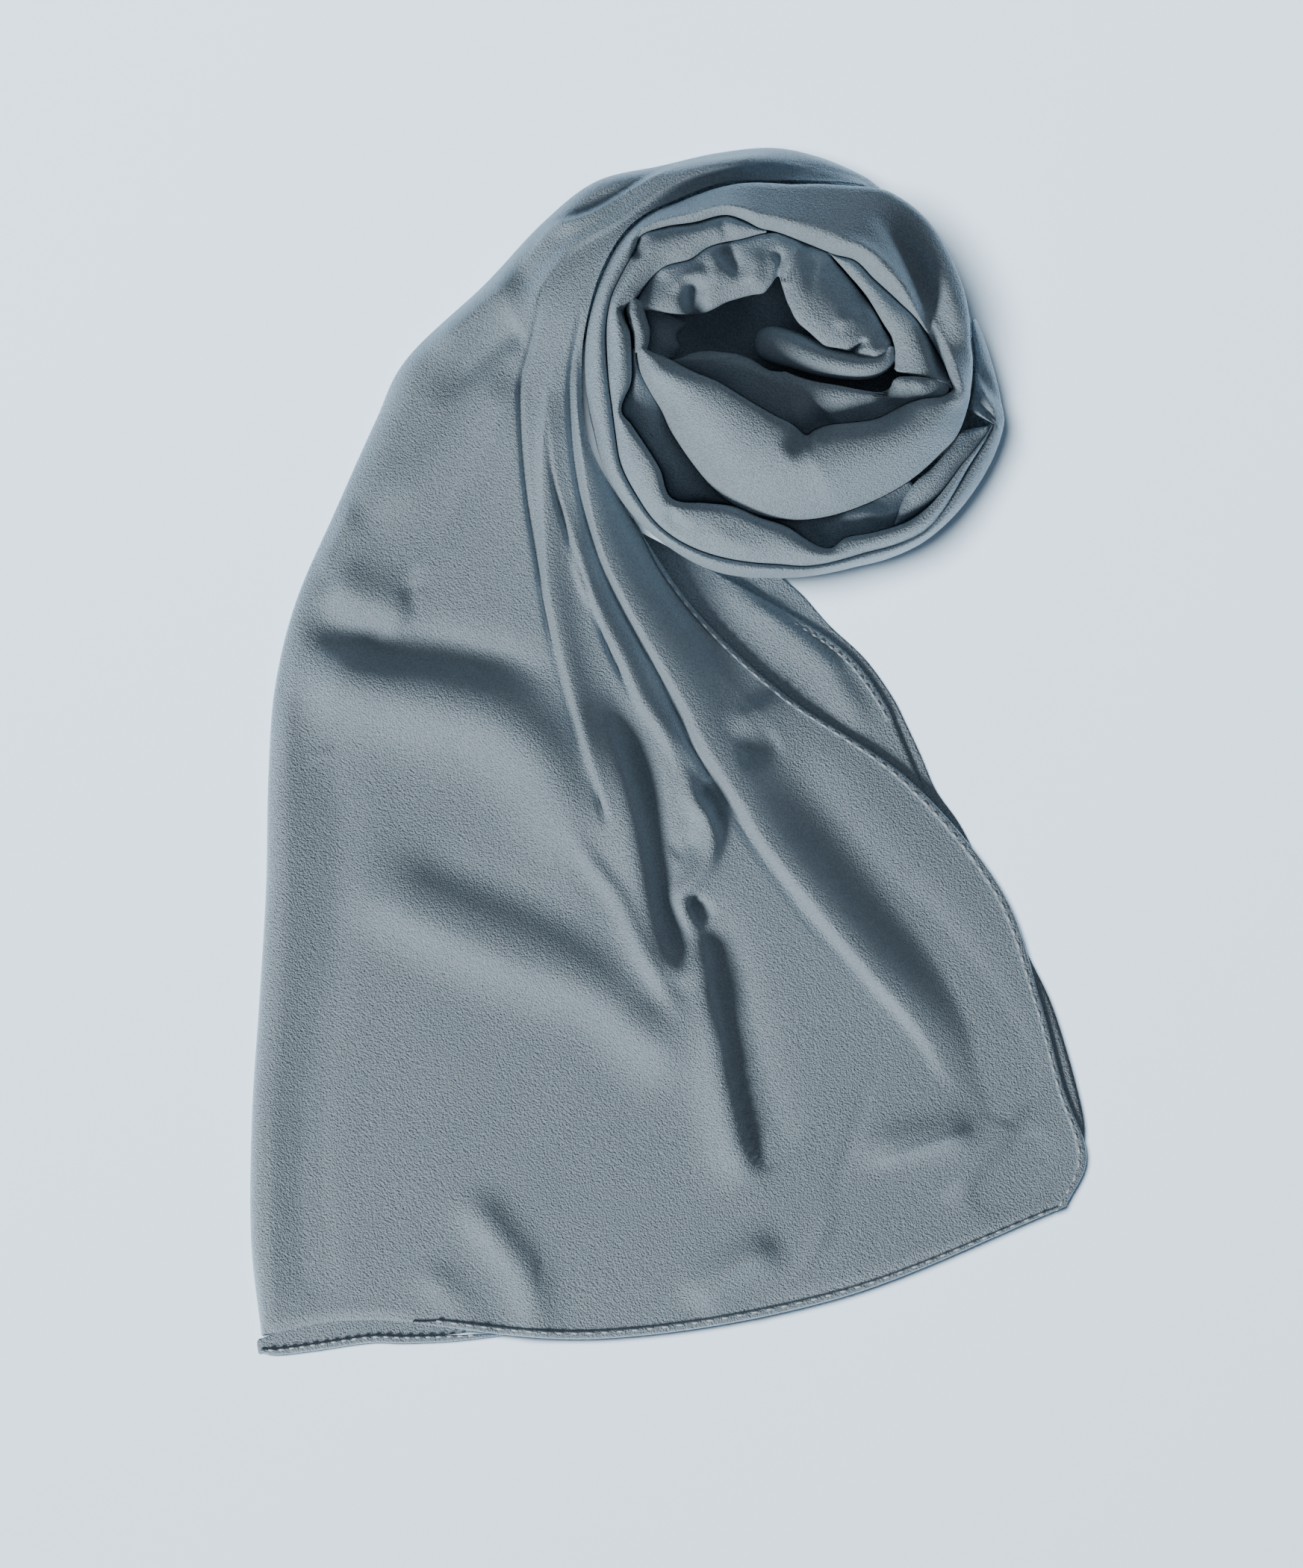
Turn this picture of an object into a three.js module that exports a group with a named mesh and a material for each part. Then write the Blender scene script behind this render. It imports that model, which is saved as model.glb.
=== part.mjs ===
// A georgette scarf lying on a table. It is folded in half along its length. One end is fanned out
// flat, with its hems showing, and the rest sweeps up over the top and winds into a loose coil.
// Units are millimetres, +Z is up, and the origin is on the table under the middle of the scarf.
import * as THREE from "three";

// Driving dimensions of the cloth.
const WALL = 1.4;
const SEAM = 0.3;
const LAYER = 1.3;
const HEM_WIDTH = 3.2;
const HEM_THICKNESS = 1;
const EDGE_STEP = 7.5;

// The coil is measured from its middle: angles in degrees from +X towards +Y, radii in mm.
const COIL = { x: 45.3, y: 170.8 };

// The open hollow in the coil goes down to its floor, and widens from its bottom to its rim radius.
const HOLLOW = { x: 22, y: 187, floor: 3, bottom: 7, rim: 19 };

// The hidden layers stand a little higher in a ring round the middle of the coil.
const CORE = { stand: 13, crown: 18, ring: 58, ringWidth: 22 };

// Sides of the coil's stretches: the part of the width a wall may take, how high up the side the
// cloth is upright, and how far round a foot looks for the highest layer below it.
const WALL_SHARE = 0.36;
const UPRIGHT_SHARE = 0.6;
const FOOT_REACH = 3;
const EDGE_CLEAR = 0.1;

const GEORGETTE = { color: 0x87939d, roughness: 0.62, metalness: 0 };
const SHADED = { color: 0x6d7983, roughness: 0.66, metalness: 0 };
const HEM_CLOTH = { color: 0x77848e, roughness: 0.66, metalness: 0 };

const rad = THREE.MathUtils.degToRad;
const clamp = THREE.MathUtils.clamp;
const lerp = THREE.MathUtils.lerp;
const scarf = new THREE.Group();

// A table is a list of named columns and one row for each section.
function table(names, rows) {
  const columns = names.split(" ");
  return rows.map((row) => Object.fromEntries(columns.map((column, i) => [column, row[i]])));
}

// A smooth curve through one column of a table, read at any place along another column.
function track(rows, along, column) {
  const place = rows.map((row) => row[along]);
  const value = rows.map((row) => row[column]);
  const last = rows.length - 1;
  const slope = (i) => {
    const before = Math.max(i - 1, 0);
    const after = Math.min(i + 1, last);
    return (value[after] - value[before]) / (place[after] - place[before]);
  };
  return (at) => {
    let i = 0;
    while (i < last - 1 && place[i + 1] <= at) i += 1;
    const span = place[i + 1] - place[i];
    const t = clamp((at - place[i]) / span, 0, 1);
    const lift = t * t * (3 - 2 * t);
    const ease = t * (1 - t) * (1 - t) * slope(i) - t * t * (1 - t) * slope(i + 1);
    return lerp(value[i], value[i + 1], lift) + ease * span;
  };
}

// Outer points and inner points on the same grid become one closed wall.
function wallGeometry(outer, inner) {
  const rows = outer.length;
  const columns = outer[0].length;
  const positions = [];
  for (const side of [outer, inner]) {
    for (const row of side) {
      for (const point of row) positions.push(point.x, point.y, point.z);
    }
  }
  const at = (side, i, j) => side * rows * columns + i * columns + j;
  const faces = [];
  const quad = (a, b, c, d) => faces.push(a, b, c, a, c, d);
  for (let i = 0; i + 1 < rows; i += 1) {
    for (let j = 0; j + 1 < columns; j += 1) {
      quad(at(0, i, j), at(0, i, j + 1), at(0, i + 1, j + 1), at(0, i + 1, j));
      quad(at(1, i, j), at(1, i + 1, j), at(1, i + 1, j + 1), at(1, i, j + 1));
    }
    const end = columns - 1;
    quad(at(0, i, 0), at(0, i + 1, 0), at(1, i + 1, 0), at(1, i, 0));
    quad(at(0, i, end), at(1, i, end), at(1, i + 1, end), at(0, i + 1, end));
  }
  for (let j = 0; j + 1 < columns; j += 1) {
    const end = rows - 1;
    quad(at(0, 0, j), at(1, 0, j), at(1, 0, j + 1), at(0, 0, j + 1));
    quad(at(0, end, j), at(0, end, j + 1), at(1, end, j + 1), at(1, end, j));
  }
  if (volume(positions, faces) < 0) faces.reverse();
  const geometry = new THREE.BufferGeometry();
  geometry.setAttribute("position", new THREE.Float32BufferAttribute(positions, 3));
  geometry.setIndex(faces);
  geometry.computeVertexNormals();
  return geometry;
}

function volume(positions, faces) {
  const corner = (i) => new THREE.Vector3().fromArray(positions, 3 * faces[i]);
  let total = 0;
  for (let i = 0; i < faces.length; i += 3) {
    total += corner(i).dot(corner(i + 1).cross(corner(i + 2))) / 6;
  }
  return total;
}

function addNode(name, geometry, look) {
  const mesh = new THREE.Mesh(geometry, new THREE.MeshStandardMaterial(look));
  mesh.name = name;
  scarf.add(mesh);
}

// Evenly spaced values from one end to the other, both ends included.
function steps(from, to, count) {
  return Array.from({ length: count + 1 }, (_, i) => lerp(from, to, i / count));
}

// Folds are soft ridges, and troughs where their height is below zero. Each follows a path over the
// table and fades at its ends; width is the distance over which it dies away on either side.
function foldLift(folds, x, y) {
  let lift = 0;
  for (const fold of folds) {
    let best = Infinity;
    let along = 0;
    for (let i = 0; i + 1 < fold.path.length; i += 1) {
      const [ax, ay] = fold.path[i];
      const [bx, by] = fold.path[i + 1];
      const length = (bx - ax) ** 2 + (by - ay) ** 2;
      const t = clamp(((x - ax) * (bx - ax) + (y - ay) * (by - ay)) / length, 0, 1);
      const gap = Math.hypot(x - lerp(ax, bx, t), y - lerp(ay, by, t));
      if (gap < best) {
        best = gap;
        along = (i + t) / (fold.path.length - 1);
      }
    }
    const fade = Math.min(1, 4 * along + 0.25, 4 * (1 - along) + 0.25);
    lift += fold.height * fade * Math.exp(-((best / fold.width) ** 2));
  }
  return lift;
}

// The tail.
// Sections of the upper leaf, from its end hem to where it passes under the shoulder of the coil.
// Each gives five guide points across the cloth: the long fold at the left, the middle of the left
// part, the first and the second pleat, and the right edge.
const LEAF = table("station foldX foldY midX midY pleatX pleatY secondX secondY edgeX edgeY", [
  [0, -177.3, -254.3, -128.5, -247.8, -31, -256, 73, -238.6, 172.8, -198.4],
  [1, -181.8, -212.7, -112, -211.1, -27.8, -206.2, 82.8, -190, 181.9, -176.3],
  [2, -181.5, -160.7, -109, -160.7, -14.8, -154.2, 99, -144.5, 171.8, -146.1],
  [3, -178.2, -108.7, -105.8, -110.3, -14.8, -105.5, 82.8, -99, 161.4, -107.1],
  [4, -175.3, -60, -105.8, -61.6, -21.3, -60, 51.9, -59, 144.5, -60],
  [5, -174.3, -11.2, -109, -16.1, -33.3, -12.8, 20, -12.8, 104.2, -12.2],
  [6, -171.4, 27.8, -113.9, 19.7, -44, 24.5, -1.8, 24.5, 50.9, 24.2],
  [7, -162.3, 64.9, -117.1, 57.1, -52.1, 60.3, -19.6, 61, 12.9, 59.7],
  [8, -145.7, 103.2, -105.8, 94.4, -59.6, 98.3, -33.6, 98.3, -13.5, 97.4],
  [9, -127.9, 142.9, -96.7, 134.4, -63.8, 135.1, -42.4, 134.4, -34.6, 133.8],
  [10, -113.9, 170.8, -88.9, 168.5, -62.9, 169.2, -44, 167.6, -37.8, 167.6],
  [11, -79.8, 203.3, -68.7, 199.4, -55.7, 197.8, -41.7, 192.6, -35, 190.7],
  [12, -55.4, 229.3, -49.9, 225.7, -39.1, 219.6, -31.3, 215, -27.6, 212.9],
  [13, -31.7, 247.8, -23.9, 240, -18.6, 234.7, -16.4, 232.5, -14.8, 230.9],
  [14, -3.1, 254.7, -1.9, 252.5, 2.2, 245.5, 3.8, 242.7, 5, 240.7],
  [15, 21.3, 260.2, 21.7, 259, 23.1, 253.5, 24.1, 250, 24.7, 247.7],
  [16, 45.3, 262.4, 45.3, 260.5, 45.3, 255.5, 45.3, 251.6, 45.3, 248.4],
  [17, 65.5, 258.4, 64.8, 255.1, 64.1, 252.2, 63.5, 249.6, 63.1, 248.2],
  [18, 84, 250.6, 83.4, 249.2, 83, 248.2, 82.6, 247.4, 82.2, 246.8],
]);

// Height of the upper leaf over the table at each guide line, the height of the foot of its long
// fold, and how far in from the fold the cloth has risen to its full height.
const LEAF_RISE = table("station foot round mid pleat second edge", [
  [0, 0, 3, 3.6, 3.6, 3.8, 3.6],
  [2, 0, 4, 4, 5, 5, 3.8],
  [4, 0, 5, 4.5, 7, 7, 4.2],
  [5, 0, 6, 5, 8.5, 9, 4.6],
  [6, 0, 8, 5.5, 10, 12, 6],
  [7, 0, 9, 7, 12.5, 15, 9],
  [8, 0, 12, 9, 16, 20, 14],
  [9, 0, 12, 13, 20, 25, 22],
  [10, 0, 12, 17, 24, 29, 27],
  [11, 0, 9, 24, 30, 32, 30],
  [12, 6, 7, 28, 33, 34, 32],
  [13, 14.8, 6, 29, 33, 34, 33],
  [15, 14.8, 5, 29, 32, 32, 31],
  [17, 14.8, 4, 27, 30, 30, 29],
  [18, 14.8, 2, 25, 28, 28, 28],
]);

const TAIL_FOLDS = [
  {
    name: "upper cross fold",
    height: 8,
    width: 17,
    path: [
      [-166, 38], [-148, 33], [-132, 28], [-112, 23], [-91, 18], [-76, 13], [-64, 5], [-52, -8],
      [-43, -25], [-31, -40], [-19, -60],
    ],
  },
  {
    name: "upper cross trough",
    height: -4,
    width: 9,
    path: [[-153, 67], [-148, 55], [-136, 49], [-122, 45], [-104, 45], [-83, 41], [-64, 36]],
  },
  {
    name: "lower cross fold",
    height: 7,
    width: 16,
    path: [
      [-144, -55], [-128, -62], [-102, -74], [-67, -90], [-29, -100], [-6, -118], [18, -148],
      [29, -170],
    ],
  },
  {
    name: "long ridge below the first pleat",
    height: 6,
    width: 10,
    path: [[34, -193], [22, -154], [10, -122], [-5, -89], [-14, -52], [-22, -19], [-34, 25]],
  },
  {
    name: "upper middle valley",
    height: -5,
    width: 8,
    path: [[5, -91], [-2, -53], [-11, -13], [-24, 38]],
  },
  {
    name: "lower middle valley",
    height: -6,
    width: 9,
    path: [[44, -179], [34, -156], [26, -119], [20, -80], [17, -53]],
  },
  {
    name: "third pleat ridge",
    height: 7,
    width: 12,
    path: [
      [119, -138], [102, -113], [76, -83], [51, -52], [31, -22], [15, 4], [1, 34], [-17, 66],
      [-29, 99],
    ],
  },
  {
    name: "broad right valley",
    height: -4,
    width: 13,
    path: [[153, -157], [132, -110], [92, -62], [54, -14], [37, 10]],
  },
  {
    name: "wave at the end hem",
    height: 4,
    width: 9,
    path: [[-89, -189], [-81, -203], [-72, -215], [-64, -226], [-58, -245]],
  },
];

const acrossGuides = ["fold", "mid", "pleat", "second", "edge"];
const guidePlaces = [0, 0.3, 0.58, 0.8, 1];
const guideTracks = acrossGuides.map((guide) => ({
  x: track(LEAF, "station", `${guide}X`),
  y: track(LEAF, "station", `${guide}Y`),
}));
const riseTracks = ["mid", "mid", "pleat", "second", "edge"].map((guide) =>
  track(LEAF_RISE, "station", guide),
);
const footCurve = track(LEAF_RISE, "station", "foot");
const footTrack = (station) => Math.max(0, footCurve(station));
const roundTrack = track(LEAF_RISE, "station", "round");

// A place on the leaf: across runs from the long fold (0) to the edge (1), station along the tail.
function leafPlace(across, station) {
  const rows = guidePlaces.map((place, i) => ({
    place,
    x: guideTracks[i].x(station),
    y: guideTracks[i].y(station),
    z: riseTracks[i](station),
  }));
  const x = track(rows, "place", "x")(across);
  const y = track(rows, "place", "y")(across);
  const flat = Math.hypot(x - rows[0].x, y - rows[0].y);
  const inward = Math.min(flat / roundTrack(station), 1);
  const bulge = Math.sqrt(1 - (1 - inward) ** 2);
  const edgeCalm = clamp(Math.min(across, 1 - across) * 12, 0, 1);
  const endCalm = clamp(station * 2, 0, 1);
  const top = track(rows, "place", "z")(across) + foldLift(TAIL_FOLDS, x, y) * edgeCalm * endCalm;
  const lowest = footTrack(station) > 1 ? 0 : 2 * LAYER + SEAM;
  return new THREE.Vector3(x, y, lerp(footTrack(station), Math.max(top, lowest), bulge));
}

// Shares of the leaf's width over which its inner face turns round the long fold, and over which
// the fold stands on the table and not on the lower leaf.
const FOLD_SHARE = 0.1;
const STANDING_SHARE = 0.04;

// The inner face of the leaf lies a wall's thickness below it, and inside it at the long fold.
function leafUnderside(across, station, point) {
  const floor = footTrack(station);
  const toEdge = leafPlace(1, station).sub(leafPlace(0, station)).setZ(0).normalize();
  const tuck = Math.max(0, 1 - across / FOLD_SHARE);
  const inside = point.clone().addScaledVector(toEdge, WALL * tuck);
  const drop = WALL * clamp((1 - tuck) * 1.4, 0, 1);
  const clear = across < STANDING_SHARE ? floor : LAYER + SEAM;
  inside.z = Math.max(point.z - drop, Math.min(clear, point.z));
  return inside;
}

function leafWall(acrossPlaces, stations) {
  const outer = stations.map((station) => acrossPlaces.map((across) => leafPlace(across, station)));
  const inner = outer.map((row, i) =>
    row.map((point, j) => leafUnderside(acrossPlaces[j], stations[i], point)),
  );
  return wallGeometry(outer, inner);
}

const leafAcross = [0, 0.012, 0.04, 0.1, 0.16, 0.22, 0.28, 0.34, 0.4, 0.46, 0.52, 0.56, 0.6, 0.65,
  0.7, 0.75, 0.79, 0.83, 0.88, 0.94, 1];
const NECK_STATION = 10;
const neckAcross = [0, 0.08, 0.2, 0.3, 0.42, 0.52, 0.58, 0.66, 0.74, 0.82, 0.9, 1];
addNode("tail_upper_leaf", leafWall(leafAcross, steps(0, NECK_STATION - 0.01, 32)), GEORGETTE);
addNode("neck_pleats", leafWall(neckAcross, steps(NECK_STATION + 0.01, 18, 22)), SHADED);

// The lower leaf and the turned-under layer below it, flat on the table.
// Sections from the bottom hem up: the left end and the right end of each straight cross line.
const LOWER_LEAF = table("leftX leftY rightX rightY", [
  [-178.6, -262.2, 168, -200.5],
  [-178.8, -256.5, 169.5, -197.5],
  [-172.5, -252, 171, -195],
  [-175, -230, 177.8, -181],
  [-175.6, -210, 180.9, -166.6],
  [-175.4, -175, 178, -148.4],
  [-173.5, -135, 168, -114.2],
  [-172, -105, 158.6, -93.4],
  [-169.2, -60, 141, -60],
  [-168.6, -35, 119, -35],
  [-168, -11, 108.6, -11],
  [-164, 20, 94.1, 21.3],
  [-158, 40, 82.1, 38.2],
  [-151, 58, 66.2, 51.5],
  [-145, 70, 40.5, 66.5],
  [-141, 78, 22.3, 76.6],
  [-137, 90, 0, 88.6],
  [-133, 102, -14, 96],
]);

// The end hem of the lower leaf bows down between its corners.
const HEM_BOW = 9;

const UNDER_LAYER = table("innerX innerY outerX outerY", [
  [23.2, 77.4, 49.5, 74.4],
  [41, 66.9, 59, 66.5],
  [66.6, 51.9, 70, 54.5],
  [82.5, 38.6, 85.2, 40.2],
  [94.5, 21.7, 97.2, 23.6],
  [99.8, 13, 103.9, 10.3],
  [105, 2, 109.7, -2.1],
  [109.6, -11, 116.2, -17],
  [122, -33, 126, -31],
]);

function slab(rows, thickness, base) {
  const place = (row, across, z) => {
    const bow = row.bow ?? 0;
    const x = lerp(row.ax, row.bx, across);
    const y = lerp(row.ay, row.by, across) - bow * 4 * across * (1 - across);
    return new THREE.Vector3(x, y, base + z);
  };
  const across = steps(0, 1, rows.some((row) => row.bow) ? 8 : 2);
  const outer = rows.map((row) => across.map((t) => place(row, t, thickness)));
  const inner = rows.map((row) => across.map((t) => place(row, t, 0)));
  return wallGeometry(outer, inner);
}

const lowerRows = LOWER_LEAF.map((row, i) => ({
  ax: row.leftX,
  ay: row.leftY,
  bx: row.rightX,
  by: row.rightY,
  bow: HEM_BOW * Math.max(0, 1 - i / 5),
}));
const underRows = UNDER_LAYER.map((row) => ({
  ax: row.innerX,
  ay: row.innerY,
  bx: row.outerX,
  by: row.outerY,
}));
addNode("tail_lower_leaf", slab(lowerRows, LAYER, 0), SHADED);
addNode("tail_under_layer", slab(underRows, LAYER, 0), SHADED);

// Narrow hems lie on the leaf they finish, made from its own points and moved up by the seam gap.
// One station of the leaf near its end hem is END_STATION_LENGTH long.
const END_STATION_LENGTH = 42;
function hemOnLeaf(acrossOf, stationOf, count) {
  const rows = steps(0, 1, count).map((t) => [0, 0.5, 1].map((side) =>
    leafPlace(acrossOf(t, side), stationOf(t, side))));
  const lift = (height) => rows.map((row) =>
    row.map((point) => point.clone().setZ(point.z + height)));
  return wallGeometry(lift(SEAM + HEM_THICKNESS), lift(SEAM));
}

const sideHemTop = 7.6;
const leafWidthAt = (station) => leafPlace(0, station).distanceTo(leafPlace(1, station));
const sideHem = hemOnLeaf(
  (t, side) => 1 - ((1 - side) * HEM_WIDTH) / leafWidthAt(t * sideHemTop),
  (t) => t * sideHemTop,
  34,
);
const endHem = hemOnLeaf(
  (t) => lerp(0.03, 0.975, t),
  (t, side) => (side * HEM_WIDTH) / END_STATION_LENGTH,
  22,
);
addNode("side_hem_upper", sideHem, HEM_CLOTH);
addNode("end_hem_upper", endHem, HEM_CLOTH);

// The hems of the lower leaf show at its bottom left corner and beside the coil.
const LOWER_END_HEM = table("ax ay bx by", [
  [-178.2, -261.9, -178.2, -258.7],
  [-163, -262.4, -163, -259.2],
  [-146, -261.4, -146, -258.2],
  [-128, -261.2, -128, -258],
]);
const LOWER_SIDE_HEM = table("ax ay bx by", [
  [98.2, 12, 95, 12],
  [93.8, 21.3, 90.8, 20.2],
  [81.8, 38.2, 79.4, 36],
  [66, 51.5, 64.2, 48.9],
  [40.4, 66.5, 39, 63.6],
  [23, 76, 21.6, 73],
]);
addNode("end_hem_lower", slab(LOWER_END_HEM, HEM_THICKNESS, LAYER + SEAM), HEM_CLOTH);
addNode("side_hem_lower", slab(LOWER_SIDE_HEM, HEM_THICKNESS, LAYER + SEAM), HEM_CLOTH);

// The coil.
// Lines between neighbouring stretches as seen from above, each a radius for an angle.
const line = (rows) => track(table("angle radius", rows), "angle", "radius");

const outerEdge = line([
  [-15, 87.5], [0, 87.1], [5, 86.5], [15, 88], [30, 89.4], [42, 90.5], [55, 88.7], [60, 86.1],
  [66, 82.3], [75, 78.7], [85, 76.2], [100, 77.5], [120, 79.3], [130, 82.6], [140, 83.7],
  [155, 82.6], [180, 81.9], [200, 84], [210, 86.8], [225, 91], [240, 93.8], [255, 96.3],
  [270, 95.9], [290, 97.5], [300, 100.8], [310, 103.7], [325, 105], [344, 104.8], [350, 100.8],
  [360, 94.9], [372, 89.8],
]);
const innerEdge = line([
  [-15, 82.5], [-10, 80], [-5, 76.4], [5, 70.2], [15, 65], [25, 59.8], [38, 56], [50, 55.6],
  [60, 52.3], [75, 52.2], [90, 55.3], [96, 57], [102, 61.5], [108, 65.5], [120, 68.3],
  [130, 74.4], [137, 78.3], [142, 76.3], [150, 75.4], [160, 75.1], [180, 72.2], [195, 72.8],
  [205, 75.7], [215, 80.6], [225, 84], [235, 87.8], [245, 89.3], [270, 89.5], [280, 91.7],
  [295, 93.6], [305, 97.8], [313, 100.1], [330, 97.5], [343, 100.3],
]);
const secondInner = line([
  [150, 68.5], [160, 69.4], [165, 66.4], [170, 62.9], [180, 61.3], [190, 62.7], [199, 69.6],
  [205, 67.9], [215, 67.1], [225, 69], [234, 75], [245, 69.4], [255, 66.6], [265, 69.2],
  [275, 73.6], [286, 86], [292, 84.2], [300, 87.4], [312, 92.8], [330, 94.3], [336, 96.6],
]);
const lipOuter = line([
  [176, 59.5], [185, 58.3], [195, 55.6], [205, 53.7], [215, 54.6], [225, 55.9], [235, 58.4],
  [245, 62.2], [255, 66], [265, 68.6], [280, 71.5], [300, 74.8], [310, 77.4], [320, 80.6],
  [330, 83.9], [337, 87], [345, 87.6], [350, 87.6],
]);
const lipInner = line([
  [176, 54.6], [180, 45.5], [185, 39.3], [190, 34.5], [197, 29], [205, 25.2], [220, 22.1],
  [240, 21], [260, 22.4], [280, 27], [288, 31], [293, 36.2], [300, 36.1], [310, 37.8],
  [320, 43.6], [330, 52.3], [340, 60.1], [345, 67.6], [347, 74.8], [350, 79.6],
]);
const pouchOuter = line([
  [-12, 55], [0, 52], [8, 52.3], [15, 50.1], [25, 48.9], [40, 47.5], [55, 49.4], [66, 52.8],
  [80, 54], [90, 54.8], [105, 53.6], [120, 55.9], [130, 56.2], [140, 61.8], [150, 63.9],
  [163, 65.6],
]);
const pouchInner = line([
  [0, 40], [6, 27], [12, 28], [20, 23], [30, 20.2], [50, 18.5], [65, 19.8], [78, 24.9],
  [86, 36], [90, 33.8], [97, 30], [107, 28.8], [120, 29.9], [130, 32.2], [144, 36.6],
  [156, 46],
]);
const bowlInner = line([
  [180, 40], [188, 31], [196, 21], [204, 13], [214, 9], [230, 7.5], [250, 7], [290, 8],
  [305, 11], [318, 16], [328, 25], [336, 38], [344, 52],
]);
const leafSide = line([[260, 85.5], [315, 82.8], [325, 83.7], [340, 89]]);
const within = (edge, inset) => (angle) => edge(angle) - inset;

// From this angle on, the outermost turn narrows to its tip.
const TIP_ANGLE = 343;

const COIL_FOLDS = [
  {
    name: "hollow in the shoulder",
    height: -11,
    width: 7,
    path: [[117, 186], [110, 206], [99, 221], [84, 234]],
  },
  {
    name: "dimple in the lip",
    height: -14,
    width: 6,
    path: [[60, 139], [52, 133], [47, 127]],
  },
  {
    name: "valley in the lip",
    height: -3,
    width: 10,
    path: [[30, 150], [14, 152], [-6, 160]],
  },
  {
    name: "pouch cone",
    height: 3,
    width: 5,
    path: [[58, 205], [56, 218], [52, 224]],
  },
  {
    name: "pouch left trough",
    height: -5,
    width: 4,
    path: [[22, 205], [16, 214], [12, 221]],
  },
  {
    name: "pouch middle trough",
    height: -4,
    width: 4,
    path: [[34, 210], [30, 218], [28, 224]],
  },
];

// Height of the hidden layers under the coil's visible stretches.
function coreTop(x, y) {
  const radius = Math.hypot(x - COIL.x, y - COIL.y);
  const ring = Math.exp(-(((radius - CORE.ring) / CORE.ringWidth) ** 2));
  const fromHollow = Math.hypot(x - HOLLOW.x, y - HOLLOW.y);
  const open = clamp((fromHollow - HOLLOW.bottom) / (HOLLOW.rim - HOLLOW.bottom), 0, 1);
  const filled = lerp(CORE.stand, CORE.crown, ring);
  return lerp(HOLLOW.floor, filled, open * open * (3 - 2 * open));
}

const coreEdge = line([
  [0, 92.5], [12, 88], [30, 88], [42, 89], [55, 87], [60, 85], [66, 86.5], [77, 88.5], [90, 90],
  [105, 91], [120, 95], [132, 97], [142, 94], [152, 86], [162, 80.8], [180, 80], [200, 82],
  [225, 89], [240, 92], [255, 94.5], [270, 94.2], [290, 95.8], [300, 99], [310, 102],
  [325, 103.3], [344, 103], [350, 99], [360, 92.5],
]);

// The hidden layers are one rounded solid with layered sides, hollowed down to near the table
// where the middle of the coil stands open.
function hiddenLayers() {
  const sideRows = table("inset z", [
    [2.4, 13.2],
    [0.5, 11.6],
    [1.5, 9],
    [0.2, 6.6],
    [1.3, 4.4],
    [0.3, 2.4],
    [1.4, 0],
  ]);
  const outwards = [0.12, 0.26, 0.4, 0.55, 0.72, 0.88];
  const around = steps(0, 360, 48).slice(0, -1);
  const rim = (angle, inset) => onCoil(angle, coreEdge(angle) - inset, 0);
  const inside = outwards.map((share) => around.map((angle) => {
    const edge = rim(angle, sideRows[0].inset);
    const x = lerp(HOLLOW.x, edge.x, share);
    const y = lerp(HOLLOW.y, edge.y, share);
    return new THREE.Vector3(x, y, coreTop(x, y));
  }));
  const sides = sideRows.map((row) => around.map((angle) => rim(angle, row.inset).setZ(row.z)));
  const loops = [...inside, ...sides];
  const count = around.length;
  const positions = loops.flat().flatMap((point) => point.toArray());
  positions.push(HOLLOW.x, HOLLOW.y, HOLLOW.floor, COIL.x, COIL.y, 0);
  const middle = loops.length * count;
  const faces = [];
  for (let j = 0; j < count; j += 1) {
    const next = (j + 1) % count;
    for (let i = 0; i + 1 < loops.length; i += 1) {
      const a = i * count;
      const b = a + count;
      faces.push(a + j, b + j, b + next, a + j, b + next, a + next);
    }
    faces.push(middle, j, next, middle + 1, middle - count + next, middle - count + j);
  }
  const geometry = new THREE.BufferGeometry();
  geometry.setAttribute("position", new THREE.Float32BufferAttribute(positions, 3));
  geometry.setIndex(faces);
  geometry.computeVertexNormals();
  return geometry;
}

// A foot stands a seam's gap clear of the highest point of the hidden layers close by.
function footHeight(x, y) {
  const around = [[0, 0], [FOOT_REACH, 0], [-FOOT_REACH, 0], [0, FOOT_REACH], [0, -FOOT_REACH]];
  return Math.max(...around.map(([dx, dy]) => coreTop(x + dx, y + dy))) + 2 * SEAM;
}

function onCoil(angle, radius, z) {
  return new THREE.Vector3(
    COIL.x + radius * Math.cos(rad(angle)),
    COIL.y + radius * Math.sin(rad(angle)),
    z,
  );
}

// Angles of the sections: every whole step between the ends, so that neighbours share their facets.
function sectionAngles(from, to) {
  const angles = [from];
  for (let angle = Math.floor(from / EDGE_STEP + 1) * EDGE_STEP; angle < to; angle += EDGE_STEP) {
    if (angle - from > 1 && to - angle > 1) angles.push(angle);
  }
  angles.push(to);
  return angles;
}

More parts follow.
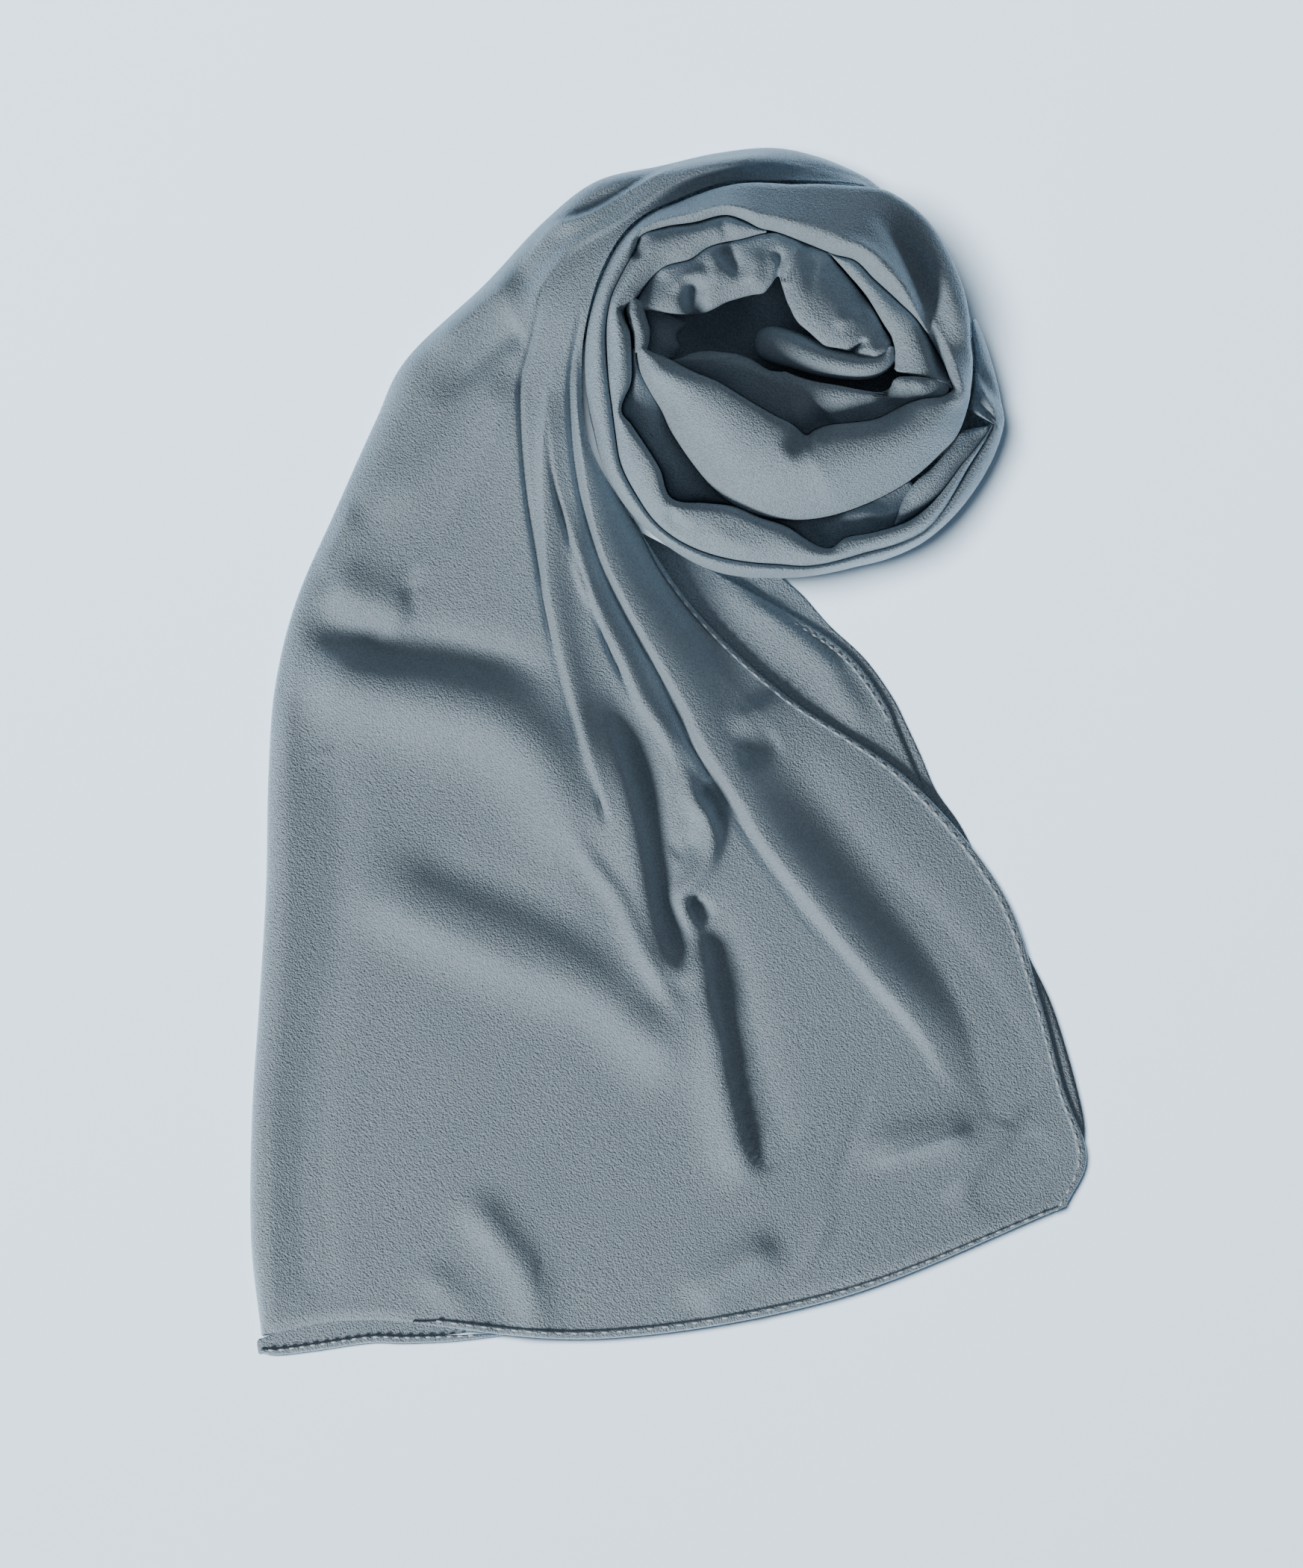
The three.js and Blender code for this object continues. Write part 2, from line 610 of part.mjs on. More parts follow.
// A stretch of wound cloth between two lines. Across it the cloth rises from a foot on the hidden
// layers, over a crest, and down again on the inner side where that side shows.
// A sheet between two stretches has no feet and keeps one depth all over.
function stretch(options) {
  const { name, from, to, outer, inner, rises } = options;
  const { innerFoot = true, sheet = false, look = GEORGETTE } = options;
  const heights = ["outerZ", "crest", "crestZ", "innerZ"].map((key) => track(rises, "angle", key));
  const across = [0, 0.1, 0.28, 0.5, 0.72, 0.9, 1];
  const outerWall = [];
  const innerWall = [];
  for (const angle of sectionAngles(from, to)) {
    const [outerZ, crest, crestZ, innerZ] = heights.map((height) => height(angle));
    const outside = outer(angle) - SEAM / 2 - EDGE_CLEAR;
    const inside = inner(angle) + SEAM / 2 + EDGE_CLEAR;
    const wall = Math.min(WALL, WALL_SHARE * (outside - inside));
    const foot = (radius) => {
      const place = onCoil(angle, radius, 0);
      return footHeight(place.x, place.y);
    };
    const profile = across.map((s) => {
      const radius = lerp(outside, inside, s);
      const toCrest = s < crest ? s / crest : (1 - s) / (1 - crest);
      const side = s < crest ? outerZ : innerZ;
      const place = onCoil(angle, radius, 0);
      const lift = foldLift(COIL_FOLDS, place.x, place.y);
      return { radius, z: lerp(side, crestZ, Math.sin((toCrest * Math.PI) / 2)) + lift };
    });
    if (sheet) {
      outerWall.push(profile.map((point) => onCoil(angle, point.radius, point.z)));
      innerWall.push(profile.map((point) => onCoil(angle, point.radius, point.z - WALL)));
      continue;
    }
    const outerFoot = foot(outside);
    const upright = lerp(outerFoot, outerZ, UPRIGHT_SHARE);
    profile.unshift({ radius: outside, z: outerFoot }, { radius: outside, z: upright });
    if (innerFoot) profile.push({ radius: inside, z: foot(inside) });
    const last = profile.length - 1;
    const under = profile.map((point, i) => {
      const before = profile[Math.max(i - 1, 0)];
      const after = profile[Math.min(i + 1, last)];
      const dr = after.radius - before.radius;
      const dz = after.z - before.z;
      const length = Math.hypot(dr, dz) || 1;
      const lowest = innerFoot ? inside + wall : inside;
      const shift = ((wall * -dz) / length) * Math.sign(-dr || 1);
      const radius = clamp(point.radius + shift, lowest, outside - wall);
      const isFoot = i === 0 || (innerFoot && i === last);
      return { radius, z: isFoot ? point.z : point.z - (wall * Math.abs(dr)) / length };
    });
    outerWall.push(profile.map((point) => onCoil(angle, point.radius, point.z)));
    innerWall.push(under.map((point) => onCoil(angle, point.radius, point.z)));
  }
  addNode(name, wallGeometry(outerWall, innerWall), look);
}

const riseTable = (rows) => table("angle outerZ crest crestZ innerZ", rows);

stretch({
  name: "shoulder_turn",
  from: -9.8,
  to: 126,
  outer: outerEdge,
  inner: innerEdge,
  rises: riseTable([
    [-10, 44, 0.5, 52, 48],
    [0, 36, 0.6, 56, 52],
    [15, 30, 0.7, 58, 52],
    [35, 28, 0.72, 59, 52],
    [50, 30, 0.7, 59, 52],
    [62, 40, 0.65, 58.5, 52],
    [75, 46, 0.5, 58, 50],
    [95, 46, 0.45, 57, 49],
    [110, 44, 0.45, 52, 47],
    [126, 40, 0.5, 47, 44],
  ]),
});

stretch({
  name: "lip_turn",
  from: 178,
  to: 349.8,
  outer: lipOuter,
  inner: lipInner,
  rises: riseTable([
    [178, 42, 0.5, 47, 44],
    [190, 42, 0.6, 53, 46],
    [205, 41, 0.7, 56, 51],
    [225, 40, 0.75, 58, 53],
    [250, 38, 0.78, 59, 54],
    [275, 38, 0.78, 60, 53],
    [295, 40, 0.7, 60, 50],
    [320, 42, 0.6, 59, 50],
    [340, 43, 0.55, 55, 48],
    [350, 44, 0.5, 52, 48],
  ]),
});

stretch({
  name: "outer_turn",
  from: 126.4,
  to: 346,
  outer: outerEdge,
  inner: (angle) => innerEdge(angle) + Math.max(0, angle - TIP_ANGLE) * 0.5,
  innerFoot: false,
  rises: riseTable([
    [126, 36, 0.7, 46, 45],
    [150, 33, 0.7, 42, 41],
    [180, 31, 0.7, 39, 38],
    [210, 27, 0.7, 36, 35],
    [240, 23, 0.7, 33, 32],
    [270, 21, 0.7, 31, 30],
    [320, 20, 0.7, 29, 28],
    [346, 20, 0.7, 27, 26],
  ]),
});

stretch({
  name: "outer_fan_fold",
  from: 348,
  to: 371.8,
  outer: outerEdge,
  inner: (angle) => outerEdge(angle - 360),
  innerFoot: false,
  look: SHADED,
  rises: riseTable([
    [348, 20, 0.7, 27, 26],
    [360, 22, 0.7, 28, 27],
    [372, 24, 0.7, 29, 28],
  ]),
});

stretch({
  name: "second_turn",
  from: 160,
  to: 334,
  outer: innerEdge,
  inner: secondInner,
  rises: riseTable([
    [160, 41, 0.5, 44, 42],
    [180, 40, 0.6, 45, 43],
    [200, 38, 0.6, 43, 41],
    [220, 37, 0.7, 45, 42],
    [245, 35, 0.75, 44, 41],
    [265, 33, 0.75, 42, 39],
    [286, 32, 0.5, 37, 35],
    [310, 31, 0.6, 36, 34],
    [334, 30, 0.5, 33, 32],
  ]),
});

stretch({
  name: "third_turn",
  from: 186,
  to: 246,
  outer: secondInner,
  inner: lipOuter,
  innerFoot: false,
  look: SHADED,
  rises: riseTable([
    [186, 38, 0.5, 41, 40],
    [210, 34, 0.5, 38, 36],
    [246, 30, 0.5, 34, 33],
  ]),
});

stretch({
  name: "gap_layer",
  from: 264,
  to: 309,
  outer: secondInner,
  inner: lipOuter,
  sheet: true,
  look: SHADED,
  rises: riseTable([
    [264, 22, 0.5, 23, 22],
    [286, 22, 0.5, 25, 23],
    [309, 22, 0.5, 25, 23],
  ]),
});

stretch({
  name: "gap_pleat",
  from: 312,
  to: 333,
  outer: within(secondInner, 0.5),
  inner: leafSide,
  look: SHADED,
  rises: riseTable([
    [312, 24, 0.5, 30, 28],
    [322, 26, 0.5, 32, 30],
    [333, 26, 0.5, 31, 29],
  ]),
});

stretch({
  name: "sleeve_fold",
  from: 102,
  to: 159.6,
  outer: innerEdge,
  inner: pouchOuter,
  rises: riseTable([
    [102, 46, 0.4, 49, 46],
    [130, 43, 0.4, 48, 45],
    [160, 41, 0.4, 45, 42],
  ]),
});

stretch({
  name: "middle_band",
  from: -8,
  to: 54,
  outer: innerEdge,
  inner: pouchOuter,
  rises: riseTable([
    [-8, 40, 0.5, 44, 38],
    [10, 46, 0.5, 50, 44],
    [30, 48, 0.5, 51, 46],
    [54, 48, 0.5, 51, 47],
  ]),
});

stretch({
  name: "pouch_fold",
  from: 6,
  to: 156,
  outer: (angle) => Math.min(pouchOuter(angle), innerEdge(angle)),
  inner: pouchInner,
  rises: riseTable([
    [6, 38, 0.5, 43, 36],
    [30, 41, 0.55, 47, 38],
    [60, 43, 0.6, 48, 40],
    [86, 44, 0.5, 46, 40],
    [105, 42, 0.55, 45, 36],
    [130, 39, 0.5, 42, 32],
    [156, 36, 0.5, 38, 32],
  ]),
});

stretch({
  name: "bowl_layer",
  from: 183,
  to: 340,
  outer: lipInner,
  inner: bowlInner,
  sheet: true,
  look: SHADED,
  rises: riseTable([
    [183, 30, 0.2, 30.5, 24],
    [220, 34, 0.2, 34.5, 23],
    [270, 36, 0.2, 36.5, 22],
    [310, 34, 0.2, 34.5, 23],
    [340, 36, 0.3, 37, 32],
  ]),
});

stretch({
  name: "inner_left_fold",
  from: 160,
  to: 176,
  outer: within(secondInner, 1),
  inner: (angle) => lerp(43, 44.5, (angle - 160) / 16),
  look: SHADED,
  rises: riseTable([
    [160, 35, 0.3, 37, 30],
    [176, 33, 0.3, 36, 30],
  ]),
});

// The roll at the heart of the coil: half an ellipse swept along a path, clear of the layers below.
const ROLL_CLEAR = 1;
const ROLL = table("x y width top", [
  [42, 178.5, 4, 24],
  [53.5, 174.2, 5.4, 29],
  [66.5, 169.4, 5.4, 31],
  [79.5, 166.4, 5.2, 32],
  [91.5, 167.2, 4.2, 32],
]);

function rollGeometry() {
  const columns = ["x", "y", "width", "top"];
  const rows = ROLL.map((row, i) => ({ ...row, i }));
  const [x, y, width, top] = columns.map((column) => track(rows, "i", column));
  const outer = [];
  const inner = [];
  const near = 0.05;
  for (const at of steps(0, rows.length - 1, 10)) {
    const alongX = x(at + near) - x(at - near);
    const alongY = y(at + near) - y(at - near);
    const side = new THREE.Vector3(-alongY, alongX, 0).normalize();
    const foot = coreTop(x(at), y(at)) + ROLL_CLEAR;
    const arch = (wall) => steps(0, 180, 8).map((turn) => new THREE.Vector3(x(at), y(at), 0)
      .addScaledVector(side, (width(at) - wall) * Math.cos(rad(turn)))
      .setZ(foot + (top(at) - wall - foot) * Math.sin(rad(turn)) ** 0.8));
    outer.push(arch(0));
    inner.push(arch(WALL));
  }
  return wallGeometry(outer, inner);
}
addNode("inner_roll", rollGeometry(), SHADED);
addNode("hidden_layers", hiddenLayers(), SHADED);

export default scarf;
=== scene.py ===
import math

import bmesh
import bpy
import numpy as np
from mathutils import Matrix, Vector


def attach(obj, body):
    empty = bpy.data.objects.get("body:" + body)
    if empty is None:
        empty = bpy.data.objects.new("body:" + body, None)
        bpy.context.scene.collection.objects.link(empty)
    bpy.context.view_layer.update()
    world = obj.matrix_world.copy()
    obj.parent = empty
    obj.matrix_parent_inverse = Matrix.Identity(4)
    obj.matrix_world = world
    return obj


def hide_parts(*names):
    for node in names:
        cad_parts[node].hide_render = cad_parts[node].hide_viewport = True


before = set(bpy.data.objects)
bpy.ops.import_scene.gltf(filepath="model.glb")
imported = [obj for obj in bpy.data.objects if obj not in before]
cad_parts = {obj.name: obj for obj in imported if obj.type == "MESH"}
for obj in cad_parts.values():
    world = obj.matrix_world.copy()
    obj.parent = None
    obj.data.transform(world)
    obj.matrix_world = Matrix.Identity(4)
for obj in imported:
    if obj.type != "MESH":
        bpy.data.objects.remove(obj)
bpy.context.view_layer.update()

bl_info = {
    "name": "Georgette scarf",
    "version": (1, 0, 0),
    "blender": (4, 5, 0),
    "location": "3D View > Sidebar > Scarf",
    "description": "Builds a folded georgette scarf, one end fanned out and the rest wound into a coil",
    "category": "Object",
}

# Tables are in millimetres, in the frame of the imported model, and Blender works in metres.
MM = 0.001
BODY = "root"

# The coil is measured from its middle: angles in degrees from +X towards +Y, radii in mm.
COIL_X, COIL_Y = 45.3, 170.8
HOLLOW_X, HOLLOW_Y, HOLLOW_FLOOR = 22.0, 187.0, 3.0
CORE_STAND, CORE_CROWN = 13.0, 18.0
LAYER = 1.3
SEAM = 0.3


# Tables and curves


def table(names, rows):
    """Named columns, one row for each section."""
    return {name: [row[i] for row in rows] for i, name in enumerate(names.split())}


def track(places, values):
    """A smooth curve through values, read at any places."""
    places = np.asarray(places, float)
    values = np.asarray(values, float)
    slopes = np.gradient(values, places)
    slopes[1:-1] = (values[2:] - values[:-2]) / (places[2:] - places[:-2])

    def read(at):
        at = np.asarray(at, float)
        i = np.clip(np.searchsorted(places, at, side="right") - 1, 0, len(places) - 2)
        span = places[i + 1] - places[i]
        t = np.clip((at - places[i]) / span, 0, 1)
        lift = t * t * (3 - 2 * t)
        ease = t * (1 - t) ** 2 * slopes[i] - t * t * (1 - t) * slopes[i + 1]
        return values[i] + (values[i + 1] - values[i]) * lift + ease * span

    return read


def line(*rows):
    """A border of the coil: a radius for each angle."""
    return track([row[0] for row in rows], [row[1] for row in rows])


def smooth_step(low, high, value):
    t = np.clip((value - low) / (high - low), 0, 1)
    return t * t * (3 - 2 * t)


def smooth_path(points, count=20):
    """Evenly numbered points along a smooth curve through the given ones."""
    points = np.asarray(points, float)
    at = np.arange(len(points), dtype=float)
    if len(points) == 2:
        return points
    places = np.linspace(0, len(points) - 1, max(count, 3 * len(points)))
    return np.stack([track(at, points[:, k])(places) for k in range(points.shape[1])], axis=1)


# Beyond this many times its wider side a fold is too low to count.
FOLD_REACH = 3


class Fold:
    """A soft ridge along a path, or a trough where its height is below zero.

    left and right are the distances over which it dies away on the two sides of the path, so a
    small one makes that side crisp. It fades over the share of its length given by ends.
    """

    def __init__(self, height, left, right, path, ends=(0.2, 0.2)):
        self.height = height
        self.left = left
        self.right = right
        self.path = smooth_path(path)
        self.ends = ends

    def lift(self, x, y):
        reach = FOLD_REACH * max(self.left, self.right)
        low = self.path.min(axis=0) - reach
        high = self.path.max(axis=0) + reach
        near = (x > low[0]) & (x < high[0]) & (y > low[1]) & (y < high[1])
        lift = np.zeros(x.shape)
        if near.any():
            lift[near] = self.lift_near(x[near], y[near])
        return lift

    def lift_near(self, x, y):
        a = self.path[:-1]
        step = self.path[1:] - a
        length = (step**2).sum(axis=1)
        best = np.full(x.shape, 1e9)
        side = np.zeros(x.shape)
        along = np.zeros(x.shape)
        for i in range(len(a)):
            dx = x - a[i, 0]
            dy = y - a[i, 1]
            t = np.clip((dx * step[i, 0] + dy * step[i, 1]) / length[i], 0, 1)
            gap = (dx - t * step[i, 0]) ** 2 + (dy - t * step[i, 1]) ** 2
            closer = gap < best
            best[closer] = gap[closer]
            side[closer] = (step[i, 0] * dy - step[i, 1] * dx)[closer]
            along[closer] = ((i + t) / len(a))[closer]
        best = np.sqrt(best)
        width = np.where(side > 0, self.left, self.right)
        fade = np.ones(x.shape)
        if self.ends[0] > 0:
            fade = fade * smooth_step(-0.02, self.ends[0], along)
        if self.ends[1] > 0:
            fade = fade * smooth_step(-0.02, self.ends[1], 1 - along)
        return self.height * fade * np.exp(-((best / width) ** 2))


def fold_lift(folds, x, y):
    total = np.zeros(x.shape)
    for fold in folds:
        total = total + fold.lift(x, y)
    return total


# Meshes


def grid_object(name, x, y, z, thickness, closed=False):
    """A sheet of cloth from a grid of places in mm, given a real thickness downwards.

    A closed one joins its last row to its first, and the points of its pole into one.
    """
    rows, columns = x.shape
    places = np.stack([x, y, z], axis=2).reshape(-1, 3) * MM
    index = np.arange(rows * columns).reshape(rows, columns)
    if closed:
        index = np.vstack([index, index[:1]])
    a, b = index[:-1, :-1].ravel(), index[:-1, 1:].ravel()
    c, d = index[1:, 1:].ravel(), index[1:, :-1].ravel()
    quads = np.stack([a, b, c, d], axis=1)
    mesh = bpy.data.meshes.new(name)
    mesh.vertices.add(len(places))
    mesh.vertices.foreach_set("co", places.ravel())
    mesh.loops.add(quads.size)
    mesh.loops.foreach_set("vertex_index", quads.ravel().astype(np.int32))
    mesh.polygons.add(len(quads))
    mesh.polygons.foreach_set("loop_start", np.arange(0, quads.size, 4, dtype=np.int32))
    mesh.update(calc_edges=True)
    if closed:
        merge_doubles(mesh)
    face_up(mesh)
    mesh.shade_smooth()
    piece = bpy.data.objects.new(name, mesh)
    bpy.context.collection.objects.link(piece)
    give_thickness(piece, thickness)
    return piece


def merge_doubles(mesh):
    shape = bmesh.new()
    shape.from_mesh(mesh)
    bmesh.ops.remove_doubles(shape, verts=shape.verts, dist=1e-6)
    shape.to_mesh(mesh)
    shape.free()


def face_up(mesh):
    """Turns the faces so that most of the sheet looks up."""
    normals = np.zeros(len(mesh.polygons) * 3)
    mesh.polygons.foreach_get("normal", normals)
    areas = np.zeros(len(mesh.polygons))
    mesh.polygons.foreach_get("area", areas)
    if (normals.reshape(-1, 3)[:, 2] * areas).sum() < 0:
        mesh.flip_normals()


def give_thickness(piece, thickness):
    bpy.ops.object.select_all(action="DESELECT")
    piece.select_set(True)
    bpy.context.view_layer.objects.active = piece
    solidify = piece.modifiers.new("thickness", "SOLIDIFY")
    solidify.thickness = thickness * MM
    solidify.offset = -1
    solidify.use_even_offset = False
    bpy.ops.object.modifier_apply(modifier=solidify.name)


def mark_thin(piece, share):
    """Stores how thin the cloth is at each vertex; both sides of the sheet have the same order."""
    share = share.ravel()
    values = np.resize(share, len(piece.data.vertices))
    layer = piece.data.attributes.new("thin", "FLOAT", "POINT")
    layer.data.foreach_set("value", values.astype(np.float32))


def finish_piece(piece, material, nodes):
    piece.data.materials.clear()
    piece.data.materials.append(material)
    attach(piece, BODY)
    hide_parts(*nodes)


# Materials


def new_material(name):
    material = bpy.data.materials.new(name)
    material.use_nodes = True
    nodes = material.node_tree.nodes
    nodes.clear()
    output = nodes.new("ShaderNodeOutputMaterial")
    shader = nodes.new("ShaderNodeBsdfPrincipled")
    material.node_tree.links.new(shader.outputs["BSDF"], output.inputs["Surface"])
    return material, nodes, material.node_tree.links, shader


def noise(nodes, links, vector, scale, detail=2.0, roughness=0.5):
    node = nodes.new("ShaderNodeTexNoise")
    node.inputs["Scale"].default_value = scale
    node.inputs["Detail"].default_value = detail
    node.inputs["Roughness"].default_value = roughness
    links.new(vector, node.inputs["Vector"])
    return node.outputs["Fac"]


def mix_colours(nodes, links, blend, share, first, second):
    """Blends two colours; a share or colour is either a value or another node's output."""
    node = nodes.new("ShaderNodeMix")
    node.data_type = "RGBA"
    node.blend_type = blend
    sockets = {socket.identifier: socket for socket in node.inputs}
    for name, value in (("Factor_Float", share), ("A_Color", first), ("B_Color", second)):
        if isinstance(value, bpy.types.NodeSocket):
            links.new(value, sockets[name])
        else:
            sockets[name].default_value = value
    return next(socket for socket in node.outputs if socket.identifier == "Result_Color")


def georgette_material(name, colour, deep_colour):
    """Georgette: a pebbled crepe grain, fine crossing threads and a slight satin sheen."""
    cloth = bpy.context.scene.scarf_cloth
    material, nodes, links, shader = new_material(name)
    coordinates = nodes.new("ShaderNodeTexCoord").outputs["Object"]

    grain = noise(nodes, links, coordinates, cloth.grain_scale, 2.5, 0.6)
    pebble = nodes.new("ShaderNodeTexVoronoi")
    pebble.inputs["Scale"].default_value = cloth.grain_scale * 1.1
    links.new(coordinates, pebble.inputs["Vector"])
    patches = noise(nodes, links, coordinates, 22.0, 3.0, 0.55)

    tint = nodes.new("ShaderNodeValToRGB")
    tint.color_ramp.elements[0].position = 0.3
    tint.color_ramp.elements[1].position = 0.72
    tint.color_ramp.elements[0].color = (*deep_colour, 1)
    tint.color_ramp.elements[1].color = (*colour, 1)
    links.new(patches, tint.inputs["Fac"])

    shade = nodes.new("ShaderNodeMapRange")
    shade.inputs["From Min"].default_value = 0.3
    shade.inputs["From Max"].default_value = 0.7
    shade.inputs["To Min"].default_value = 0.8
    shade.inputs["To Max"].default_value = 1.16
    links.new(grain, shade.inputs["Value"])
    thin = nodes.new("ShaderNodeAttribute")
    thin.attribute_name = "thin"
    cloth_colour = mix_colours(
        nodes, links, "MIX", thin.outputs["Fac"], tint.outputs["Color"], (*cloth.sheer_colour, 1))
    specked = mix_colours(nodes, links, "MULTIPLY", 1.0, cloth_colour, shade.outputs["Result"])
    links.new(specked, shader.inputs["Base Color"])

    twill = nodes.new("ShaderNodeTexWave")
    twill.bands_direction = "DIAGONAL"
    twill.inputs["Scale"].default_value = cloth.grain_scale * 0.22
    twill.inputs["Distortion"].default_value = 6.0
    twill.inputs["Detail"].default_value = 1.0
    twill.inputs["Detail Scale"].default_value = 2.0
    links.new(coordinates, twill.inputs["Vector"])
    height = nodes.new("ShaderNodeMath")
    height.operation = "MULTIPLY_ADD"
    links.new(pebble.outputs["Distance"], height.inputs[0])
    height.inputs[1].default_value = -0.6
    links.new(grain, height.inputs[2])
    relief = nodes.new("ShaderNodeMath")
    relief.operation = "MULTIPLY_ADD"
    links.new(twill.outputs["Fac"], relief.inputs[0])
    relief.inputs[1].default_value = 0.12
    links.new(height.outputs["Value"], relief.inputs[2])
    bump = nodes.new("ShaderNodeBump")
    bump.inputs["Strength"].default_value = cloth.grain_strength
    bump.inputs["Distance"].default_value = 0.0007
    links.new(relief.outputs["Value"], bump.inputs["Height"])
    links.new(bump.outputs["Normal"], shader.inputs["Normal"])

    shader.inputs["Roughness"].default_value = cloth.roughness
    shader.inputs["Specular IOR Level"].default_value = 0.35
    shader.inputs["Sheen Weight"].default_value = 0.25
    shader.inputs["Sheen Roughness"].default_value = 0.5
    shader.inputs["Sheen Tint"].default_value = (0.75, 0.86, 0.95, 1)
    return material


def thread_material():
    material, nodes, links, shader = new_material("hem_thread")
    coordinates = nodes.new("ShaderNodeTexCoord").outputs["Object"]
    twist = noise(nodes, links, coordinates, 2600.0, 1.0, 0.5)
    tint = nodes.new("ShaderNodeValToRGB")
    tint.color_ramp.elements[0].color = (0.72, 0.8, 0.85, 1)
    tint.color_ramp.elements[1].color = (0.88, 0.94, 0.97, 1)
    links.new(twist, tint.inputs["Fac"])
    links.new(tint.outputs["Color"], shader.inputs["Base Color"])
    bump = nodes.new("ShaderNodeBump")
    bump.inputs["Strength"].default_value = 0.4
    bump.inputs["Distance"].default_value = 0.0002
    links.new(twist, bump.inputs["Height"])
    links.new(bump.outputs["Normal"], shader.inputs["Normal"])
    shader.inputs["Roughness"].default_value = 0.5
    return material


def cloth_material():
    cloth = bpy.context.scene.scarf_cloth
    known = bpy.data.materials.get("crepe_cloth")
    return known or georgette_material("crepe_cloth", cloth.colour, cloth.deep_colour)


# The tail: the upper leaf of the folded scarf, from its end hem to where it passes under the
# shoulder of the coil. Each row gives five guide points across the cloth.
LEAF = table(
    "station foldX foldY midX midY pleatX pleatY secondX secondY edgeX edgeY",
    [
        [0, -177.3, -254.3, -128.5, -247.8, -31, -256, 73, -238.6, 172.8, -198.4],
        [1, -181.8, -212.7, -112, -211.1, -27.8, -206.2, 82.8, -190, 181.9, -176.3],
        [2, -181.5, -160.7, -109, -160.7, -14.8, -154.2, 99, -144.5, 171.8, -146.1],
        [3, -178.2, -108.7, -105.8, -110.3, -14.8, -105.5, 82.8, -99, 161.4, -107.1],
        [4, -175.3, -60, -105.8, -61.6, -21.3, -60, 51.9, -59, 144.5, -60],
        [5, -174.3, -11.2, -109, -16.1, -33.3, -12.8, 20, -12.8, 104.2, -12.2],
        [6, -171.4, 27.8, -113.9, 19.7, -44, 24.5, -1.8, 24.5, 50.9, 24.2],
        [7, -162.3, 64.9, -117.1, 57.1, -52.1, 60.3, -19.6, 61, 12.9, 59.7],
        [8, -145.7, 103.2, -105.8, 94.4, -59.6, 98.3, -33.6, 98.3, -13.5, 97.4],
        [9, -127.9, 142.9, -96.7, 134.4, -63.8, 135.1, -42.4, 134.4, -34.6, 133.8],
        [10, -113.9, 170.8, -88.9, 168.5, -62.9, 169.2, -44, 167.6, -37.8, 167.6],
        [11, -79.8, 203.3, -68.7, 199.4, -55.7, 197.8, -41.7, 192.6, -35, 190.7],
        [12, -55.4, 229.3, -49.9, 225.7, -39.1, 219.6, -31.3, 215, -27.6, 212.9],
        [13, -31.7, 247.8, -23.9, 240, -18.6, 234.7, -16.4, 232.5, -14.8, 230.9],
        [14, -3.1, 254.7, -1.9, 252.5, 2.2, 245.5, 3.8, 242.7, 5, 240.7],
        [15, 21.3, 260.2, 21.7, 259, 23.1, 253.5, 24.1, 250, 24.7, 247.7],
        [16, 45.3, 262.4, 45.3, 260.5, 45.3, 255.5, 45.3, 251.6, 45.3, 248.4],
        [17, 65.5, 258.4, 64.8, 255.1, 64.1, 252.2, 63.5, 249.6, 63.1, 248.2],
        [18, 84, 250.6, 83.4, 249.2, 83, 248.2, 82.6, 247.4, 82.2, 246.8],
        [19, 92, 245, 91, 244, 90, 243, 89.5, 242.5, 89, 242],
    ],
)
LEAF_RISE = table(
    "station foot round mid pleat second edge",
    [
        [0, 0, 3, 3.6, 3.6, 3.8, 3.4],
        [2, 0, 4, 4, 5, 5, 3.4],
        [4, 0, 5, 4.5, 7, 7, 3.8],
        [5, 0, 6, 5, 8.5, 8, 3.6],
        [6, 0, 8, 5.5, 10, 10, 3.8],
        [7, 0, 9, 7, 12.5, 13, 4.6],
        [8, 0, 12, 9, 16, 18, 9],
        [9, 0, 12, 13, 20, 25, 22],
        [10, 0, 12, 17, 24, 29, 27],
        [11, 0, 9, 20, 29, 34, 34],
        [12, 6, 7, 25, 31, 35, 37],
        [13, 14.8, 6, 28, 32, 34, 36],
        [15, 14.8, 5, 29, 32, 33.5, 34.5],
        [17, 14.8, 4, 27, 29, 30, 31],
        [18, 14.8, 2, 22, 24, 26, 27],
        [19, 14.8, 2, 20, 21, 22, 23],
    ],
)
GUIDES = ("fold", "mid", "pleat", "second", "edge")
GUIDE_PLACES = np.array([0, 0.3, 0.58, 0.8, 1])

